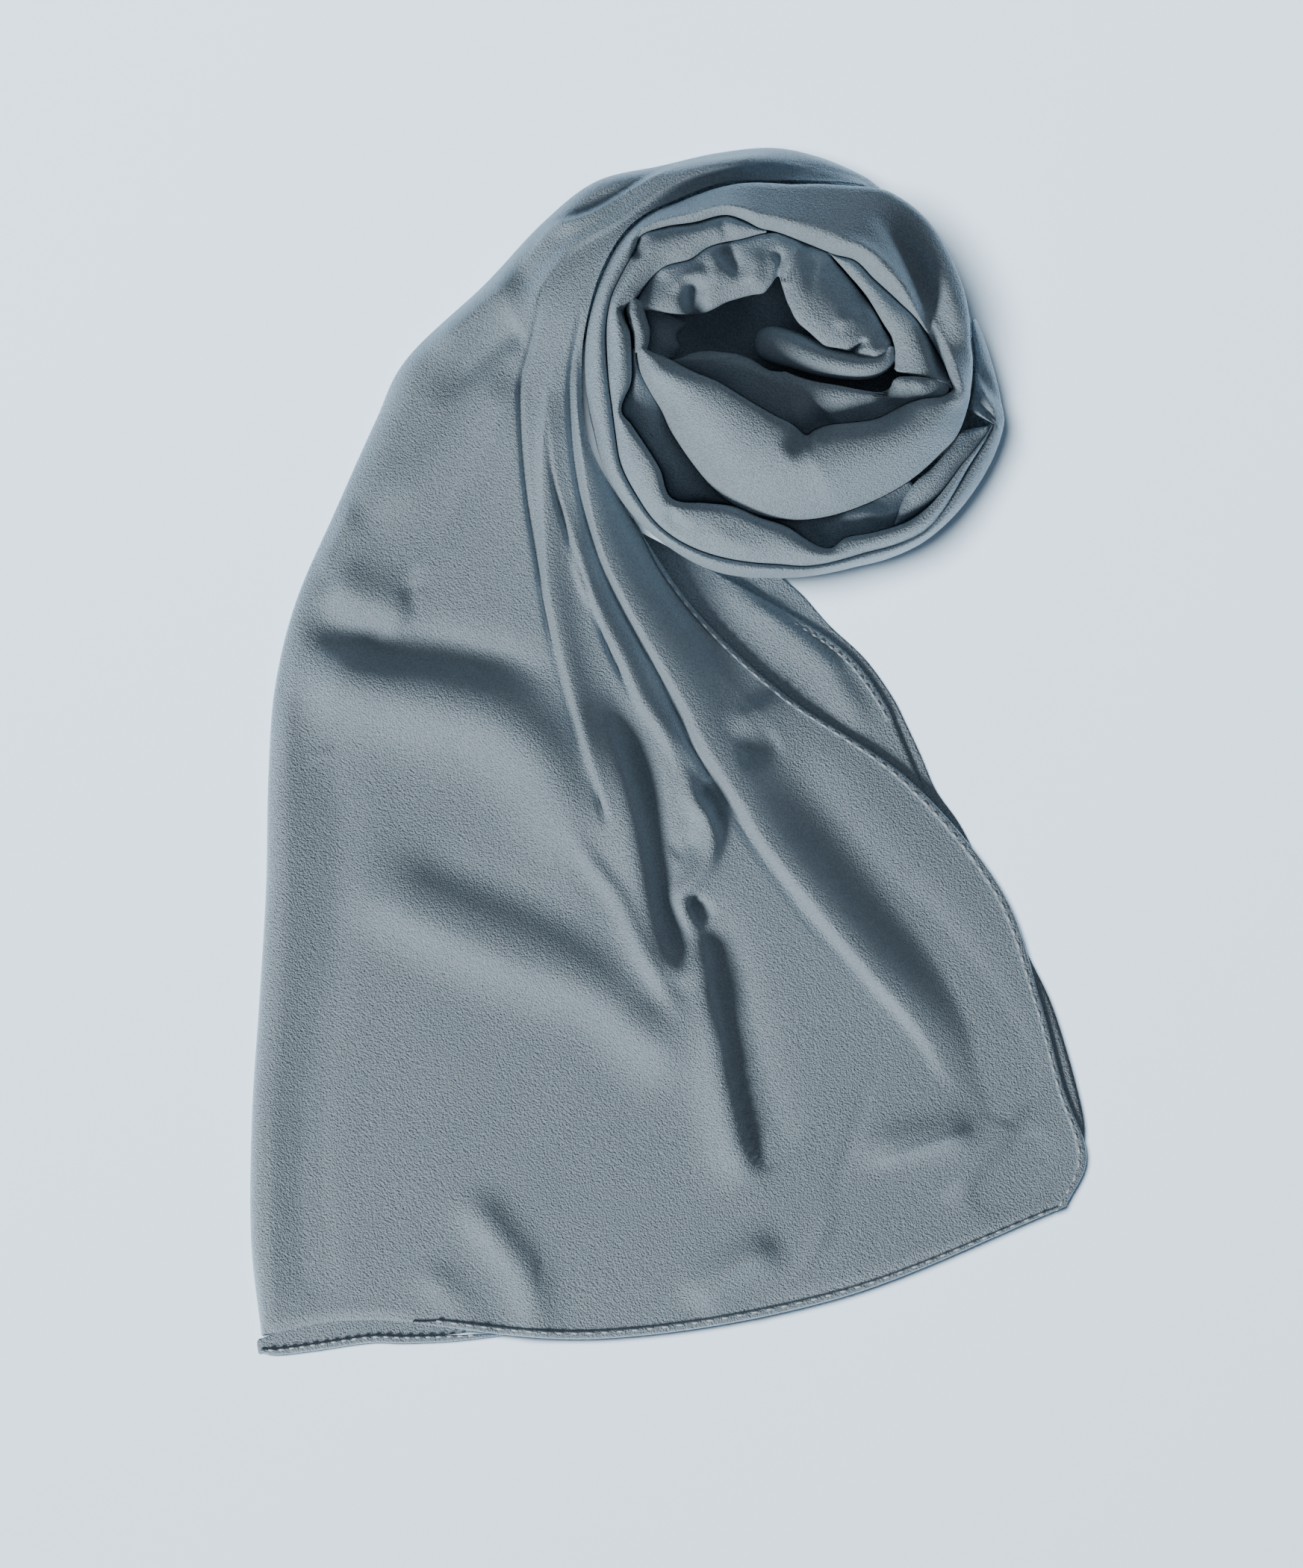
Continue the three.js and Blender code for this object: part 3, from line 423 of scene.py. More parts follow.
TAIL_FOLDS = [
    # The two long folds across the left part: bright below their crests, in shade above them.
    Fold(10, 17, 18, [(-166, 38), (-148, 33), (-132, 28), (-112, 23), (-91, 18), (-76, 13), (-64, 5),
        (-52, -8), (-43, -25), (-31, -40), (-19, -60)], ends=(0.15, 0.25)),
    Fold(-5, 9, 9, [(-153, 67), (-148, 55), (-136, 49), (-122, 45), (-104, 45), (-83, 41), (-64, 36),
        (-49, 25)], ends=(0.2, 0.25)),
    Fold(4, 11, 9, [(-148, 77), (-135, 68), (-122, 63), (-112, 55)], ends=(0.2, 0.2)),
    Fold(7.5, 21, 14, [(-144, -55), (-128, -62), (-116, -67), (-102, -74), (-85, -82), (-67, -90),
        (-46, -97), (-34, -102), (-23, -109), (-8, -123), (4, -131), (14, -138)], ends=(0.2, 0.15)),
    Fold(-2, 10, 10, [(-128, -44), (-109, -47), (-93, -53), (-76, -60), (-57, -68), (-38, -80),
        (-20, -94), (-4, -108), (6, -118)], ends=(0.25, 0.15)),
    Fold(3, 3.5, 4, [(-45, -30), (-34, -48), (-22, -64), (-13, -84), (-2, -103), (8, -119)], ends=(0.3, 0.2)),
    # The first pleat, crisp on its left beside the coil, and the long ridge it runs into.
    Fold(6, 1.6, 9, [(-24, -38), (-28, -23), (-34, -8), (-38, 7), (-43, 25), (-47, 41), (-50, 57),
        (-53, 73), (-54, 93), (-55, 112), (-55, 132), (-52, 158)], ends=(0.3, 0.08)),
    Fold(6.5, 13, 5, [(5, -104), (1, -96), (-4.5, -82), (-8, -67), (-11, -50), (-14.6, -30), (-21, -8),
        (-27, 8), (-34, 25)], ends=(0.2, 0.3)),
    Fold(6.5, 12, 4.5, [(39, -188), (33, -174), (29, -158), (24.5, -140), (22.5, -126), (17.5, -108),
        (15.5, -94), (13, -84), (8, -70)], ends=(0.15, 0.3)),
    Fold(-6, 5, 9, [(6, -97), (2, -86), (-3, -67), (-6.5, -47), (-11, -20), (-17, 2), (-22, 20),
        (-28, 45)], ends=(0.3, 0.45)),
    # The second fold, which bends to and fro between the pleats.
    Fold(5, 2, 6, [(5, -9), (-2, 7), (-12, 22), (-20, 40), (-29, 57), (-37, 73), (-41, 90),
        (-45, 109)], ends=(0.15, 0.2)),
    Fold(6, 5, 3, [(13.5, -82), (8, -71), (5.5, -63), (11, -56.5), (17.5, -48.5), (19.3, -38.5), (17, -29.5),
        (11.5, -21.5), (8, -12), (2, 0)], ends=(0.15, 0.3)),
    Fold(-5, 3, 3, [(14, -17), (19, -21), (22, -28), (22.5, -38)], ends=(0.1, 0.4)),
    Fold(-5, 3, 4, [(9, -66), (14, -69), (18, -75)], ends=(0.05, 0.4)),
    Fold(-2.5, 5, 5, [(14, -38), (6, -42), (1, -46)], ends=(0.3, 0.3)),
    Fold(-5, 5, 13, [(46, -184), (39, -173), (34, -156), (30, -138), (27.5, -124), (23, -104), (20.5, -88),
        (14, -72), (11, -66)], ends=(0.12, 0.35)),
    # The third pleat, the longest, and the broad valley on its right.
    Fold(8, 2.2, 19, [(128, -149), (119, -138), (112, -126), (102, -113), (90, -100), (76, -83),
        (63, -67), (51, -52), (40, -37), (31, -22), (23, -9), (15, 4), (8, 19), (0, 33), (-8, 47),
        (-16, 61), (-27, 83), (-33, 103), (-37, 126), (-39.5, 150), (-39, 168)], ends=(0.22, 0.1)),
    # The sharp lines where one pleat lies over the next beside the coil.
    Fold(-2.6, 1.5, 1.3, [(98, -112), (80, -94), (62, -76), (47.6, -55.7), (37, -41), (27.3, -26.6),
        (18.6, -12.1), (9.9, 2.4), (2, 19), (-4.6, 33), (-12.8, 47.3), (-23.2, 66.8), (-30.7, 84.7),
        (-36.9, 103.9), (-41.1, 125.6), (-43, 150.3), (-42.4, 166.9), (-38.2, 190)], ends=(0.4, 0.06)),
    Fold(-2.6, 1.4, 1.2, [(-14, 20), (-19, 30), (-27.4, 47.6), (-36.9, 73.6), (-45, 98.3), (-50.5, 118.8),
        (-54.7, 154.6)], ends=(0.3, 0.3)),
    Fold(-2.8, 1.4, 1.2, [(-25.7, -32.4), (-27.9, -28), (-33, -12), (-39.5, 8.2), (-46.7, 34.3),
        (-51.8, 53.2), (-54.1, 64.2), (-58.6, 91.5), (-61.6, 109.4), (-63.8, 132.5),
        (-64.8, 152.9), (-64.2, 161.4), (-60.3, 175), (-55.4, 197)], ends=(0.12, 0.1)),
    Fold(-4, 14, 14, [(153, -157), (146, -136), (132, -110), (112, -84), (92, -62), (76, -42),
        (54, -14), (37, 10)], ends=(0.12, 0.25)),
    Fold(4, 5, 6, [(26, 8), (40, 19), (54, 27)], ends=(0.3, 0.2)),
    Fold(-3, 6, 6, [(29, 0), (40, 1), (49, 5)], ends=(0.3, 0.3)),
    # Soft waves and creases near the end hem.
    Fold(4.5, 8, 8, [(-89, -189), (-81, -203), (-72, -215), (-64, -226), (-60, -239),
        (-58, -251)], ends=(0.25, 0)),
    Fold(2.2, 7, 7, [(-109, -222), (-94, -239), (-83, -254)], ends=(0.3, 0)),
    Fold(-0.7, 1.3, 1.3, [(-55, -217), (-56, -226), (-57, -237)], ends=(0.3, 0.3)),
    Fold(5, 9, 9, [(10, -245), (21, -233), (34, -223), (50, -215)], ends=(0.25, 0.25)),
    Fold(1.6, 2.5, 2.5, [(38, -248), (49, -236), (59, -224), (67, -211), (72, -193)], ends=(0, 0.3)),
    Fold(-1.0, 2, 2, [(70, -201), (75, -183), (81, -167), (91, -135)], ends=(0.3, 0.3)),
    Fold(3.4, 8, 7, [(80, -178), (101, -171), (119, -168), (135, -165)], ends=(0.3, 0.25)),
    Fold(2.6, 2.2, 6, [(119, -197), (127, -187), (135, -177.5), (147, -164), (158, -151)], ends=(0.3, 0.3)),
    Fold(1.6, 2.5, 2.5, [(88, -180), (104, -175), (118, -170.5), (133, -165)], ends=(0.3, 0.3)),
    Fold(-3, 7, 4, [(152, -138), (146, -150), (141, -160)], ends=(0.5, 0.05)),
    Fold(-2.5, 8, 9, [(132, -200), (151, -183), (164, -164)], ends=(0.3, 0.3)),
    # The rounded fold down the left edge, with a soft hollow inside it.
    Fold(2.2, 10, 9, [(-170, 25), (-169, 2), (-168, -31), (-168, -63), (-171, -102), (-176, -144),
        (-177, -180), (-177, -226), (-175, -253)], ends=(0.1, 0)),
    Fold(-1.3, 9, 9, [(-153, 7), (-145, -18), (-143, -47), (-145, -76), (-149, -109), (-154, -144),
        (-156, -180), (-154, -219), (-151, -248)], ends=(0.15, 0.1)),
    Fold(1.2, 1.2, 2, [(-157, -5), (-151, -1), (-146, 1)], ends=(0.3, 0.3)),
    # The upper left, where the cloth gathers towards the coil.
    Fold(4, 9, 11, [(-135, 99), (-116, 114), (-96, 132), (-80, 148), (-67, 164)], ends=(0.3, 0.2)),
    Fold(-5, 8, 6, [(-104, 150), (-90, 164), (-75, 177), (-64, 184)], ends=(0.4, 0.1)),
    Fold(5, 10, 9, [(-109, 174), (-93, 187), (-76, 198), (-62, 207)], ends=(0.3, 0.3)),
    Fold(3, 9, 9, [(-159, 80), (-148, 93), (-135, 108)], ends=(0.3, 0.3)),
    Fold(1.8, 1.6, 8, [(-113, 76), (-104, 88), (-96, 103), (-88, 119), (-78, 135),
        (-67, 151)], ends=(0.1, 0.2)),
    Fold(-1.5, 3, 4, [(-113, 74), (-112, 67), (-110, 57)], ends=(0.2, 0.3)),
    # The pleats over the top of the coil.
    Fold(5, 1.3, 6, [(-66, 206), (-52, 227), (-41, 231), (-31, 235), (-16, 244), (-2, 252), (12, 256),
        (28, 258), (45, 260)], ends=(0.25, 0.1)),
    Fold(3.2, 4, 1.1, [(-59, 190), (-57, 200), (-46, 215), (-39, 221), (-24, 229.5), (-11, 239), (2, 246.5),
        (16, 252.2), (31, 255), (45, 256.2), (60, 254)], ends=(0.2, 0.1)),
]

guide_x = [track(LEAF["station"], LEAF[guide + "X"]) for guide in GUIDES]
guide_y = [track(LEAF["station"], LEAF[guide + "Y"]) for guide in GUIDES]
guide_z = [track(LEAF_RISE["station"], LEAF_RISE[g]) for g in ("mid", "mid", "pleat", "second", "edge")]
foot_z = track(LEAF_RISE["station"], LEAF_RISE["foot"])
fold_round = track(LEAF_RISE["station"], LEAF_RISE["round"])


def guide_curve(readers, across, stations):
    """A smooth curve through the guides of each station, read at its across place."""
    values = np.stack([reader(stations) for reader in readers])
    slopes = np.empty(values.shape)
    slopes[0] = (values[1] - values[0]) / (GUIDE_PLACES[1] - GUIDE_PLACES[0])
    slopes[-1] = (values[-1] - values[-2]) / (GUIDE_PLACES[-1] - GUIDE_PLACES[-2])
    gaps = (GUIDE_PLACES[2:] - GUIDE_PLACES[:-2]).reshape(-1, *([1] * np.ndim(stations)))
    slopes[1:-1] = (values[2:] - values[:-2]) / gaps
    i = np.clip(np.searchsorted(GUIDE_PLACES, across, side="right") - 1, 0, len(GUIDE_PLACES) - 2)
    span = GUIDE_PLACES[i + 1] - GUIDE_PLACES[i]
    t = np.clip((across - GUIDE_PLACES[i]) / span, 0, 1)

    def pick(array, which):
        return np.take_along_axis(array, which[None], axis=0)[0]

    start, end = pick(values, i), pick(values, i + 1)
    ease = t * (1 - t) ** 2 * pick(slopes, i) - t * t * (1 - t) * pick(slopes, i + 1)
    return start + (end - start) * t * t * (3 - 2 * t) + ease * span


# How far the leaf's end sinks at the corner that is turned under.
TURNED_UNDER = 1.4


def leaf_places(across, stations):
    """Places on the upper leaf: across runs from the long fold to the edge, stations up the tail."""
    across, stations = np.broadcast_arrays(np.asarray(across, float), np.asarray(stations, float))
    x = guide_curve(guide_x, across, stations)
    y = guide_curve(guide_y, across, stations)
    high = guide_curve(guide_z, across, stations)
    inward = np.hypot(x - guide_x[0](stations), y - guide_y[0](stations)) / fold_round(stations)
    bulge = np.sqrt(1 - (1 - np.clip(inward, 0, 1)) ** 2)
    # Folds die away beside the long fold, the free edge and the end hem, but not in the pleats.
    calm = np.clip(np.minimum(across * 25, (1 - across) * 14), 0, 1)
    calm = calm + (1 - calm) * smooth_step(7, 9, stations) * (across > 0.5)
    end_calm = 0.35 + 0.65 * smooth_step(0, 0.6, stations)
    top = high + fold_lift(TAIL_FOLDS, x, y) * calm * end_calm
    foot = np.maximum(foot_z(stations), 0.0)
    least = np.where(foot > 1, 0.0, 2 * LAYER + SEAM)
    z = foot + (np.maximum(top, least) - foot) * bulge
    turned = smooth_step(0.12, 0, stations) * smooth_step(0.4, 0.3, across)
    return x, y, z - TURNED_UNDER * turned * (z > 3)


def thin_share(across, stations):
    """Where only one layer of cloth lies, along the right part of the end hem."""
    return smooth_step(0.2, 0.15, stations) * smooth_step(0.7, 0.8, across)


# How far the leaf's free edge is turned down.
EDGE_TURN = 0.6


def hang_edge(x, y, z, stations):
    """Turns the leaf's edge down, and beside the coil lets it hang to the layers below."""
    # It ends just above the lower leaf, or just above the hidden layers where it lies over them.
    foot = 3 + 13.5 * smooth_step(11, 11.7, stations)
    beside = smooth_step(8.3, 9.2, stations) * smooth_step(18.2, 17.4, stations)
    drop = EDGE_TURN + np.maximum(z[:, -1] - foot, 0) * beside
    down = z[:, -1:] - drop[:, None] * np.array([1, 2, 3]) / 3
    return np.hstack([x, x[:, [-1] * 3]]), np.hstack([y, y[:, [-1] * 3]]), np.hstack([z, down])


def eased_stations(count):
    """Stations spaced evenly along the middle of the leaf."""
    fine = np.linspace(0, LEAF["station"][-1], 600)
    x = guide_x[2](fine)
    y = guide_y[2](fine)
    run = np.concatenate([[0], np.cumsum(np.hypot(np.diff(x), np.diff(y)))])
    return np.interp(np.linspace(0, run[-1], count), run, fine)


class SCARF_OT_upper_leaf(bpy.types.Operator):
    """The upper leaf of the tail and the pleats that it gathers into over the coil"""

    bl_idname = "scarf.upper_leaf"
    bl_label = "Upper leaf"

    def execute(self, context):
        cloth = context.scene.scarf_cloth
        across = np.concatenate([
            np.array([0, 0.003, 0.007, 0.013, 0.021, 0.03]),
            np.linspace(0.04, 0.5, 54),
            np.linspace(0.505, 1, 84),
        ])
        stations = eased_stations(292)
        x, y, z = leaf_places(across[None, :], stations[:, None])
        x, y, z = hang_edge(x, y, z, stations)
        piece = grid_object("upper_leaf", x, y, z, cloth.thickness)
        mark_thin(piece, thin_share(np.append(across, [1, 1, 1])[None, :], stations[:, None]))
        finish_piece(piece, cloth_material(), ["tail_upper_leaf", "neck_pleats"])
        return {"FINISHED"}


# The lower leaf and the layer turned under it.
LOWER_LEAF = table(
    "leftX leftY rightX rightY",
    [
        [-178.6, -262.2, 168, -200.5],
        [-178.8, -256.5, 169.5, -197.5],
        [-172.5, -252, 171, -195],
        [-175, -230, 177.8, -181],
        [-175.6, -210, 180.9, -166.6],
        [-175.4, -175, 178, -148.4],
        [-173.5, -135, 168, -114.2],
        [-172, -105, 158.6, -93.4],
        [-169.2, -60, 141, -60],
        [-168.6, -35, 119, -35],
        [-168, -11, 108.6, -11],
        [-164, 20, 94.1, 21.3],
        [-158, 40, 82.1, 38.2],
        [-151, 58, 66.2, 51.5],
        [-145, 70, 40.5, 66.5],
        [-141, 78, 22.3, 76.6],
        [-137, 90, 0, 88.6],
        [-133, 102, -14, 96],
    ],
)
# The lower leaf's end bows this far towards -Y. It lies this high at its left, is this much
# higher at its right, where it lies over the layer turned under, and higher still along the edge
# that shows.
HEM_BOW = 9.0
LOWER_TOP, RIGHT_LIFT, EDGE_LIFT = 1.1, 1.1, 0.9
UNDER_TOP = 1.5
UNDER_LAYER = table(
    "innerX innerY outerX outerY",
    [
        [10, 80, 49.5, 82],
        [16, 73, 49.5, 76],
        [34, 62, 59, 67],
        [53, 46, 70, 54.5],
        [68, 31, 85.2, 40.2],
        [79, 15, 97.2, 23.6],
        [85, 6, 103.9, 10.3],
        [91, -4, 109.7, -2.1],
        [97, -17, 116.2, -17],
        [108, -34, 126, -31],
        [116, -46, 133, -44],
        [126, -56, 138, -54],
    ],
)


def ruled_places(rows, across, along, bow=None):
    """Straight cross lines between the two tracks of a table, bowed towards -Y if asked."""
    ax, ay, bx, by = (
        track(np.arange(len(values)), values)(along)[:, None] for values in rows.values())
    x = ax + (bx - ax) * across[None, :]
    y = ay + (by - ay) * across[None, :]
    if bow is not None:
        y = y - bow(along)[:, None] * 4 * across[None, :] * (1 - across[None, :])
    return x, y


LOWER_FOLDS = [
    Fold(2.5, 5, 7, [(20, 78), (44, 56), (70, 34), (88, 8)]),
    Fold(1.5, 3, 4, [(36, 66), (58, 50), (78, 32)]),
]


class SCARF_OT_lower_layers(bpy.types.Operator):
    """The lower leaf of the tail and the layer turned under it beside the coil"""

    bl_idname = "scarf.lower_layers"
    bl_label = "Lower leaf and turned-under layer"

    def execute(self, context):
        cloth = context.scene.scarf_cloth
        across = np.linspace(0, 1, 120)
        along = np.linspace(0, len(LOWER_LEAF["leftX"]) - 1, 170)
        x, y = ruled_places(LOWER_LEAF, across, along, lambda t: HEM_BOW * np.clip(1 - t / 5, 0, 1))
        z = LOWER_TOP + RIGHT_LIFT * smooth_step(0.6, 0.95, across)[None, :] + fold_lift(LOWER_FOLDS, x, y)
        # Its right edge is lifted where it shows beside the upper leaf.
        shown = smooth_step(2.8, 3.8, along) * smooth_step(7.6, 6.6, along)
        z = z + EDGE_LIFT * smooth_step(0.965, 1, across)[None, :] * shown[:, None]
        lower = grid_object("lower_leaf", x, y, z, cloth.thickness)
        finish_piece(lower, cloth_material(), ["tail_lower_leaf"])

        across = np.linspace(0, 1, 24)
        along = np.linspace(0, len(UNDER_LAYER["innerX"]) - 1, 130)
        x, y = ruled_places(UNDER_LAYER, across, along)
        z = UNDER_TOP + np.zeros(x.shape)
        under = grid_object("under_layer", x, y, z, cloth.thickness)
        finish_piece(under, cloth_material(), ["tail_under_layer"])
        return {"FINISHED"}


# The coil


outer_edge = line(
    (-15, 87.5), (0, 87.1), (5, 86.5), (15, 88), (30, 89.4), (42, 90.5), (55, 88.7), (60, 86.1),
    (66, 82.3), (75, 78.7), (85, 76.2), (100, 77.5), (120, 79.3), (130, 82.6), (140, 83.7),
    (155, 82.6), (180, 81.9), (200, 84), (210, 86.8), (225, 91), (240, 93.8), (255, 96.3),
    (270, 95.9), (290, 97.5), (300, 100.8), (310, 103.7), (325, 105), (344, 104.8), (350, 100.8),
    (360, 94.9), (372, 89.8),
)
inner_edge = line(
    (-15, 82.5), (-10, 80), (-5, 76.4), (5, 70.2), (15, 65), (25, 59.8), (38, 56), (50, 55.6),
    (60, 52.3), (75, 52.2), (90, 55.3), (96, 57), (102, 61.5), (108, 65.5), (120, 68.3),
    (130, 74.4), (137, 78.3), (142, 76.3), (150, 75.4), (160, 75.1), (180, 72.2), (195, 72.8),
    (205, 75.7), (215, 80.6), (225, 84), (235, 87.8), (245, 89.3), (270, 89.5), (280, 91.7),
    (295, 93.6), (305, 97.8), (313, 100.1), (330, 97.5), (343, 100.3),
)
second_inner = line(
    (150, 68.5), (160, 68.8), (165, 66.4), (170, 62.9), (180, 61.3), (190, 62.7), (199, 69.6),
    (205, 67.9), (215, 67.1), (225, 69), (234, 75), (245, 69.4), (255, 66.6), (265, 69.2),
    (275, 73.6), (286, 86), (292, 84.2), (300, 87.4), (312, 92.8), (330, 94.3), (336, 96.6),
    (340, 98.4), (343, 99.6),
)
lip_outer = line(
    (174, 57.6), (177, 59.2), (185, 58.3), (195, 55.6), (205, 53.7), (215, 54.6), (225, 55.9), (235, 58.4),
    (245, 62.2), (255, 66), (265, 68.6), (280, 71.5), (300, 74.8), (310, 77.4), (320, 80.6),
    (330, 83.9), (337, 87), (345, 87.6), (350, 87.6),
)
lip_inner = line(
    (174, 56.6), (176, 54.8), (180, 45.5), (185, 39.3), (190, 34.5), (197, 29), (205, 25.2), (220, 22.1),
    (240, 21), (260, 22.4), (280, 27), (288, 31), (293, 36.2), (300, 36.1), (310, 37.8),
    (320, 43.6), (330, 52.3), (340, 60.1), (345, 67.6), (347, 74.8), (350, 79.6),
)
band_inner = line(
    (-9.5, 78.6), (-8.4, 76), (-7.7, 73.4), (-7, 63.5), (-6.3, 54.6), (-3, 53.2), (2.5, 53),
    (6, 52.8), (10, 52.4),
    (18, 50.2), (27, 49.1), (45, 48.8), (55, 50.1), (62.5, 51.9),
)
pouch_outer = line(
    (-2, 44), (-0.5, 46.5), (1.5, 50), (4, 52), (8, 52.3), (15, 50.1), (25, 48.9), (40, 47.9),
    (55, 49.6), (66, 52.8), (80, 54), (90, 54.8), (105, 53.6), (120, 55.9), (130, 56.2),
    (140, 61.8), (150, 63.9), (157, 64.2), (163, 63),
)
pouch_inner = line(
    (-2, 43), (-0.5, 41), (1.2, 37.6), (3.3, 35.2), (7, 30.6), (12, 24), (20, 21.4), (32, 19.7),
    (50, 18.7), (62, 20), (70, 22.6), (77, 26), (83, 31.8), (86, 35.7), (92, 31.4), (98, 28.6),
    (107, 28.8), (120, 29.9), (130, 31.6), (140, 33.3), (148, 36.4), (152, 40.4), (156, 47.6),
    (158, 55), (160, 61),
)
left_inner = line((156, 61.8), (161, 58.4), (167, 54.8), (173, 54.2), (178, 55.2))
bowl_outer_start = line((173, 26), (174, 30), (177, 36.5), (180.5, 41.8), (184, 60), (200, 60))
bowl_inner = line(
    (173, 16), (174, 14.6), (180, 10.4), (190, 7.8), (210, 6), (240, 5.2), (280, 5.6), (305, 7),
    (316, 8.6), (326, 15), (334, 24.5), (338, 32), (340.6, 42), (342.5, 49), (346, 52.4),
    (350, 53.4), (352.3, 57), (353, 63),
)
gap_pleat_inner = line(
    (306, 89.4), (308, 87.6), (311, 84.6), (315, 82.6), (320, 82.2), (325, 83.9), (330, 85.2),
    (336, 87.4), (339, 88.2), (341, 93), (342.6, 98.4),
)
core_edge = line(
    (0, 92.5), (12, 88), (30, 88), (42, 89), (55, 87), (60, 85), (66, 86.5), (77, 88.5), (90, 90),
    (105, 91), (120, 95), (132, 97), (142, 94), (152, 86), (162, 80.8), (180, 80), (200, 82),
    (225, 89), (240, 92), (255, 94.5), (270, 94.2), (290, 95.8), (300, 99), (310, 102),
    (325, 103.3), (344, 103), (350, 99), (360, 92.5),
)

COIL_FOLDS = [
    # The deep hollow at the right of the shoulder, crisp on its inner side, and the bulge outside it.
    Fold(-12, 10, 3.4, [(88, 238), (94, 230), (100, 222), (106.5, 210), (112, 195), (116, 180),
        (119.5, 166), (122, 158)], ends=(0.45, 0.3)),
    Fold(3.5, 6, 6, [(92, 238), (112, 218), (124, 192), (127, 171)], ends=(0.4, 0.4)),
    Fold(3, 3, 5, [(66, 222), (84, 219), (98, 208), (107, 192), (112, 180)], ends=(0.3, 0.3)),
    # The dimple of the lip with the soft swell outside it.
    Fold(-6, 6, 6.5, [(70, 147), (62, 139.5), (56, 133.5), (50, 128)], ends=(0.1, 0.4)),
    Fold(-2.5, 6, 7, [(62, 142), (76, 143), (96, 149), (114, 155)], ends=(0.2, 0.2)),
    # The pouch: a hollow and scoops at its left, a cone and a cleft at its top, ripples and a
    # curled slit at its right.
    Fold(-11, 4.5, 4, [(12, 206), (10, 198), (12, 188)], ends=(0.35, 0.02)),
    Fold(2.5, 3, 3, [(3, 198), (6, 204), (12, 208), (18, 204)], ends=(0.3, 0.3)),
    Fold(2.4, 3, 4, [(18, 219), (20, 211), (18, 203)], ends=(0.35, 0.35)),
    Fold(-5, 4, 3, [(22, 220), (27, 213), (32, 205)], ends=(0.25, 0.45)),
    Fold(2.4, 4, 4, [(38, 220), (38, 210), (36, 201)], ends=(0.4, 0.3)),
    Fold(4, 2, 3, [(48.5, 203), (51, 210), (56, 217), (58, 222)], ends=(0.1, 0.3)),
    Fold(-3.5, 1.6, 3, [(47.5, 205), (48.5, 213), (44, 219)], ends=(0.05, 0.4)),
    Fold(-1.6, 3, 4, [(62, 218), (62, 206), (60, 196)], ends=(0.3, 0.5)),
    Fold(-2.4, 9, 10, [(56, 220), (70, 212), (84, 200), (92, 188)], ends=(0.3, 0.3)),
    Fold(-1.4, 2, 3, [(82, 196), (84, 190), (84, 186)], ends=(0.4, 0.4)),
    Fold(2.6, 3, 3, [(72, 184), (79, 189), (88, 194)], ends=(0.3, 0.4)),
    Fold(-7, 1.1, 1.4, [(78.5, 172.5), (82, 176), (86.5, 179.4)], ends=(0.02, 0.4)),
    Fold(2.4, 2, 2.4, [(87, 173), (92, 175), (95, 180)], ends=(0.3, 0.3)),
    # The bowl: a soft valley across it and the small fold at its right.
    Fold(-3, 7, 8, [(30, 166), (44, 158), (56, 148)], ends=(0.4, 0.2)),
    Fold(-3.5, 3, 4, [(93, 156), (97, 152), (104, 152)], ends=(0.1, 0.4)),
    Fold(2.2, 3, 3, [(98, 158), (106, 160), (114, 158)], ends=(0.3, 0.3)),
    # Where the second turn comes out over the sleeve.
    Fold(-5, 1.2, 1.2, [(-22, 193), (-20, 191), (-17.6, 186.5)], ends=(0.2, 0.05)),
    Fold(-5, 3, 1.4, [(-13, 224), (-14, 219), (-16, 214)], ends=(0.1, 0.4)),
    Fold(-1.4, 3, 2, [(22, 231), (25, 225), (26, 219)], ends=(0.1, 0.4)),
    Fold(-3.5, 5, 2, [(-3, 210), (-8, 203), (-15, 196)], ends=(0.3, 0.3)),
    # Ripples along the turns, and the soft fold in the gap below the lip.
    Fold(-2, 3, 3, [(-26, 190), (-25, 176), (-24, 160)], ends=(0.4, 0.4)),
    Fold(2.2, 3, 4, [(-17, 146), (-8, 130), (0, 118)], ends=(0.4, 0.4)),
    Fold(2, 5, 5, [(14, 98), (28, 90), (44, 86)], ends=(0.4, 0.4)),
    Fold(-2, 3, 4, [(58, 98), (66, 92), (70, 88)], ends=(0.2, 0.5)),
    Fold(3.2, 3, 3, [(66, 97), (82, 103), (96, 102.4), (104, 109)], ends=(0.3, 0.3)),
    Fold(-2.5, 2, 4, [(0, 106), (3, 100), (10, 96)], ends=(0.2, 0.4)),
    # The folds that fan out from the tip at the right of the coil.
    Fold(-3.5, 1.6, 3, [(146, 151), (139, 158), (133, 170)], ends=(0.1, 0.3)),
    Fold(2.5, 2, 2, [(144, 144), (139, 152), (134, 162)], ends=(0.2, 0.3)),
    Fold(-2.5, 1.4, 2, [(140, 145), (136, 150), (132, 155)], ends=(0.1, 0.3)),
]


def core_top(x, y):
    """Height of the hidden layers under the turns."""
    ring = np.exp(-(((np.hypot(x - COIL_X, y - COIL_Y) - 58) / 22) ** 2))
    open_share = smooth_step(7, 19, np.hypot(x - HOLLOW_X, y - HOLLOW_Y))
    return HOLLOW_FLOOR + (CORE_STAND + (CORE_CROWN - CORE_STAND) * ring - HOLLOW_FLOOR) * open_share


def on_coil(angles, radii):
    turn = np.radians(angles)[:, None]
    return COIL_X + radii * np.cos(turn), COIL_Y + radii * np.sin(turn)


# A turn's edges are rounded over this width, it stays this far inside its borders, and its walls
# stop this far above the hidden layers.
EDGE_ROUND = 2.4
BORDER_GAP = 0.15
FOOT_RISE = 0.8
TURN_COLUMNS = 34
WALL_STEPS = np.linspace(0, 1, 7)[None, :-1]


